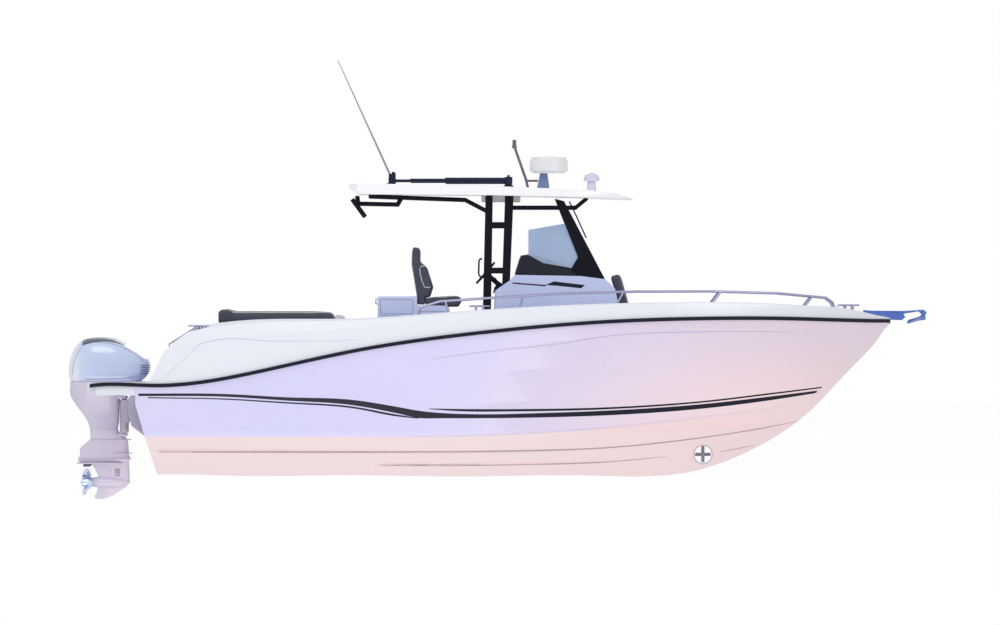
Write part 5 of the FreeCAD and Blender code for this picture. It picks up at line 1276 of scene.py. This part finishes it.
def rounded_plate(name, centre, along, across, corner, thick, segments=6):
    """A plate with rounded corners: its edge is a corner arc about each corner of a smaller rectangle,
    half as long as the vectors along and across. It grows from its plane by the thickness."""
    along, across = np.asarray(along, dtype=float), np.asarray(across, dtype=float)
    half = np.array([np.linalg.norm(along), np.linalg.norm(across)])
    u, v = along / half[0], across / half[1]
    turn = np.linspace(0, math.pi / 2, segments)
    edge = np.concatenate([
        np.stack([a * (half[0] - corner) + corner * np.cos(turn + start),
                  b * (half[1] - corner) + corner * np.sin(turn + start)], axis=1)
        for start, (a, b) in zip(full_turn(4), ((1, 1), (-1, 1), (-1, -1), (1, -1)))])
    flat = np.asarray(centre, dtype=float) + edge[:, :1] * u + edge[:, 1:] * v
    return grid_object(name, np.stack([flat, flat + np.cross(u, v) * thick]), smooth=False)


def panel_plate(name, hand, panel, grown, corner, thick):
    """A plate on one side of the leaning post, a little larger than its panel if it is grown."""
    x, z, half_long, half_high = panel
    return rounded_plate(name, (x, hand * POST_HALF, z), (half_long + grown, 0, 0),
                         (0, 0, -hand * (half_high + grown)), corner, thick)


def build_plates():
    """Accents on the console's sides, panels of the leaning post with the gaps round them, latch, screens."""
    accents, gaps, fronts = [], [], []
    console_half = -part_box("console")[0][1]
    for _, hand in SIDES:
        accents += [side_plate(f"accent_{hand}_{number}", outline, hand * (console_half - 0.002),
                               hand * (console_half + PROUD)) for number, outline in enumerate(ACCENTS)]
        for number, panel in enumerate(POST_PANELS):
            gaps.append(panel_plate(f"gap_{hand}_{number}", hand, panel, PANEL_GAP, 0.018, PROUD * 0.5))
            fronts.append(panel_plate(f"front_{hand}_{number}", hand, panel, 0.0, 0.015, PROUD))
    rise = np.array((HOOD_RISE[0], 0.0, HOOD_RISE[1]))
    rise *= SCREEN_HALF[0] / np.linalg.norm(rise)
    screens = [rounded_plate(f"screen_{y}", (SCREEN_PLACE[0], y, SCREEN_PLACE[1]), rise,
                             (0, SCREEN_HALF[1], 0), 0.012, 0.004) for y in SCREENS_Y]
    latch = rounded_plate("door_latch", (0.535, 0.640, 1.235), (0.018, 0, 0), (0, 0, -0.045), 0.008, 0.006)
    finish_piece(join_objects("console_accents", accents), "hull", "Stripe paint")
    finish_piece(join_objects("panel_gaps", gaps), "hull", "Seam dark")
    finish_piece(join_objects("panel_fronts", fronts), "hull", "Console moulding")
    finish_piece(join_objects("dash_screens", screens), "hull", "Screen glass")
    finish_piece(latch, "console_door", "Stainless steel")


def build_rods():
    """Handles of the leaning post, grab loops of the frame, rails on the stern quarters, and the wiper."""
    for name, slot, label, half, bend, radius, around, outline in RODS:
        pair = [sweep(f"{name}_{hand}", rounded_path([(x, hand * half, z) for x, z in outline], bend), radius,
                      around) for _, hand in SIDES]
        finish_piece(join_objects(name, pair), "hull", label)
    wiper = [sweep("wiper_arm", rounded_path(WIPER_ARM, 0.02), 0.009, around=10),
             sweep("wiper_blade", np.linspace(*WIPER_BLADE, 9), 0.008, around=8)]
    finish_piece(join_objects("wiper", wiper), "hull", "Black plastic")


def build_fittings():
    """Finishes of the frame, glass, rails and small fittings, and the plates and rods on them."""
    paint_nodes(FITTING_FINISHES)
    build_plates()
    build_rods()


# Stage, light and camera

def floor_material():
    """A pale floor at the waterline: the eye sees through most of it, so that the hull below shows."""
    material, tree, shader, place = start_material("Pale floor")
    toned(tree, shader, place, (0.93, 0.93, 0.94, 1.0), (0.90, 0.90, 0.92, 1.0), 0.3, 0.3)
    shader.inputs["Roughness"].default_value = 0.6
    clear = tree.nodes.new("ShaderNodeBsdfTransparent")
    ray = tree.nodes.new("ShaderNodeLightPath")
    blend = tree.nodes.new("ShaderNodeMixShader")
    shown = calculate(tree, "MAXIMUM", calculate(tree, "MULTIPLY", ray.outputs["Is Diffuse Ray"], 0.35),
                      calculate(tree, "MULTIPLY", ray.outputs["Is Camera Ray"], 0.05))
    amount = calculate(tree, "SUBTRACT", 1.0, shown)
    tree.links.new(amount, blend.inputs[0])
    tree.links.new(shader.outputs[0], blend.inputs[1])
    tree.links.new(clear.outputs[0], blend.inputs[2])
    outlet = next(node for node in tree.nodes if node.type == "OUTPUT_MATERIAL")
    tree.links.new(blend.outputs[0], outlet.inputs["Surface"])
    return material


def studio_world():
    """White where the camera and reflections look, and an even, slightly dimmer light all round."""
    world = bpy.data.worlds.new("Studio")
    bpy.context.scene.world = world
    world.use_nodes = True
    tree = world.node_tree
    tree.nodes.clear()
    outlet = tree.nodes.new("ShaderNodeOutputWorld")
    seen = add_node(tree, "ShaderNodeBackground", Color=(1.0, 1.0, 1.0, 1.0), Strength=1.0)
    fill = add_node(tree, "ShaderNodeBackground", Color=(0.97, 0.97, 1.0, 1.0), Strength=0.62)
    ray = tree.nodes.new("ShaderNodeLightPath")
    mirror = calculate(tree, "MULTIPLY", ray.outputs["Is Glossy Ray"], 0.9)
    amount = calculate(tree, "MAXIMUM", ray.outputs["Is Camera Ray"],
                       calculate(tree, "MAXIMUM", ray.outputs["Is Transmission Ray"], mirror))
    blend = tree.nodes.new("ShaderNodeMixShader")
    tree.links.new(amount, blend.inputs[0])
    tree.links.new(fill.outputs[0], blend.inputs[1])
    tree.links.new(seen.outputs[0], blend.inputs[2])
    tree.links.new(blend.outputs[0], outlet.inputs["Surface"])


# Soft lights: place, size, power, colour
LIGHTS = (
    ((-6.0, -13.0, 12.0), 9.0, 620.0, (1.0, 1.0, 1.0)),
    ((9.0, -11.0, 5.0), 7.0, 260.0, (1.0, 0.93, 0.90)),
    ((0.0, 13.0, 9.0), 9.0, 420.0, (0.95, 0.97, 1.0)),
    ((-2.0, -8.0, -7.0), 10.0, 380.0, (1.0, 0.90, 0.89)),
)


def build_stage():
    """Floor at the waterline, white world, soft lights and the camera square on the starboard side."""
    half = 60.0
    floor = make_object("Floor", [(-half, -half, 0), (half, -half, 0), (half, half, 0), (-half, half, 0)],
                        [[0, 1, 2, 3]], smooth=False)
    floor.data.materials.append(floor_material())
    studio_world()
    centre = Vector((VIEW_CENTRE_X, 0, VIEW_CENTRE_Z))
    for number, (place, size, power, colour) in enumerate(LIGHTS, start=1):
        lamp = bpy.data.lights.new(f"Soft light {number}", "AREA")
        lamp.shape = "DISK"
        lamp.size = size
        lamp.energy = power
        lamp.color = colour
        light = bpy.data.objects.new(lamp.name, lamp)
        light.location = place
        light.rotation_euler = (centre - Vector(place)).to_track_quat("-Z", "Y").to_euler()
        add_to_scene(light)
    camera = add_to_scene(bpy.data.objects.new("Camera", bpy.data.cameras.new("Camera")))
    camera.data.sensor_width = SENSOR
    camera.data.lens = SENSOR * sizes().camera_distance / VIEW_ACROSS
    camera.data.clip_end = 4 * sizes().camera_distance
    camera.location = (VIEW_CENTRE_X, -sizes().camera_distance, VIEW_CENTRE_Z)
    camera.rotation_euler = (math.pi / 2, 0, 0)
    bpy.context.scene.camera = camera
    bpy.context.scene.view_settings.view_transform = "Standard"


# Operators, panel and registration

class BoatOperator(bpy.types.Operator):
    """What the boat's operators share: they can be undone, and they need the frame."""
    bl_options = {"REGISTER", "UNDO"}

    @classmethod
    def poll(cls, context):
        """The frame is loaded."""
        return bool(NODES)


class BOAT_OT_hull(BoatOperator):
    """Gelcoat, rail and stripes"""
    bl_idname = "boat.hull"
    bl_label = "Hull and decks"

    def execute(self, context):
        build_hull()
        return {"FINISHED"}


class BOAT_OT_cushions(BoatOperator):
    """Cushions filled by cloth under pressure"""
    bl_idname = "boat.cushions"
    bl_label = "Cushions"

    def execute(self, context):
        build_cushions()
        return {"FINISHED"}


class BOAT_OT_mouldings(BoatOperator):
    """Console, seats, hatches and hardtop"""
    bl_idname = "boat.mouldings"
    bl_label = "Mouldings"

    def execute(self, context):
        build_mouldings()
        return {"FINISHED"}


class BOAT_OT_engines(BoatOperator):
    """Cowls, legs, brackets and propellers"""
    bl_idname = "boat.engines"
    bl_label = "Engines"

    def execute(self, context):
        build_engines()
        return {"FINISHED"}


class BOAT_OT_fittings(BoatOperator):
    """Frame, glass, rails and fittings"""
    bl_idname = "boat.fittings"
    bl_label = "Fittings"

    def execute(self, context):
        build_fittings()
        return {"FINISHED"}


class BOAT_OT_stage(BoatOperator):
    """Floor, light and camera"""
    bl_idname = "boat.stage"
    bl_label = "Stage"

    def execute(self, context):
        build_stage()
        return {"FINISHED"}


STEPS = ("stage", "hull", "mouldings", "cushions", "engines", "fittings")


class BOAT_PT_panel(bpy.types.Panel):
    """Settings and steps of the boat's looks."""
    bl_label = "Boat"
    bl_idname = "BOAT_PT_panel"
    bl_space_type = "VIEW_3D"
    bl_region_type = "UI"
    bl_category = "Boat"

    def draw(self, context):
        for settings in (context.scene.boat_sizes, context.scene.boat_colours):
            for name in settings.__annotations__:
                self.layout.prop(settings, name)
        for step in STEPS:
            self.layout.operator("boat." + step)


CLASSES = (BoatColours, BoatSizes, BOAT_OT_hull, BOAT_OT_cushions, BOAT_OT_mouldings, BOAT_OT_engines,
           BOAT_OT_fittings, BOAT_OT_stage, BOAT_PT_panel)


def register():
    """Add the settings, operators and panel."""
    for item in CLASSES:
        bpy.utils.register_class(item)
    bpy.types.Scene.boat_colours = bpy.props.PointerProperty(type=BoatColours)
    bpy.types.Scene.boat_sizes = bpy.props.PointerProperty(type=BoatSizes)


def unregister():
    """Take the settings, operators and panel away again."""
    del bpy.types.Scene.boat_sizes
    del bpy.types.Scene.boat_colours
    for item in reversed(CLASSES):
        bpy.utils.unregister_class(item)


def main():
    """Register, then run each step in order."""
    register()
    for step in STEPS:
        result = getattr(bpy.ops.boat, step)()
        if result != {"FINISHED"}:
            raise RuntimeError(f"step {step} did not finish")


if __name__ == "__main__":
    main()
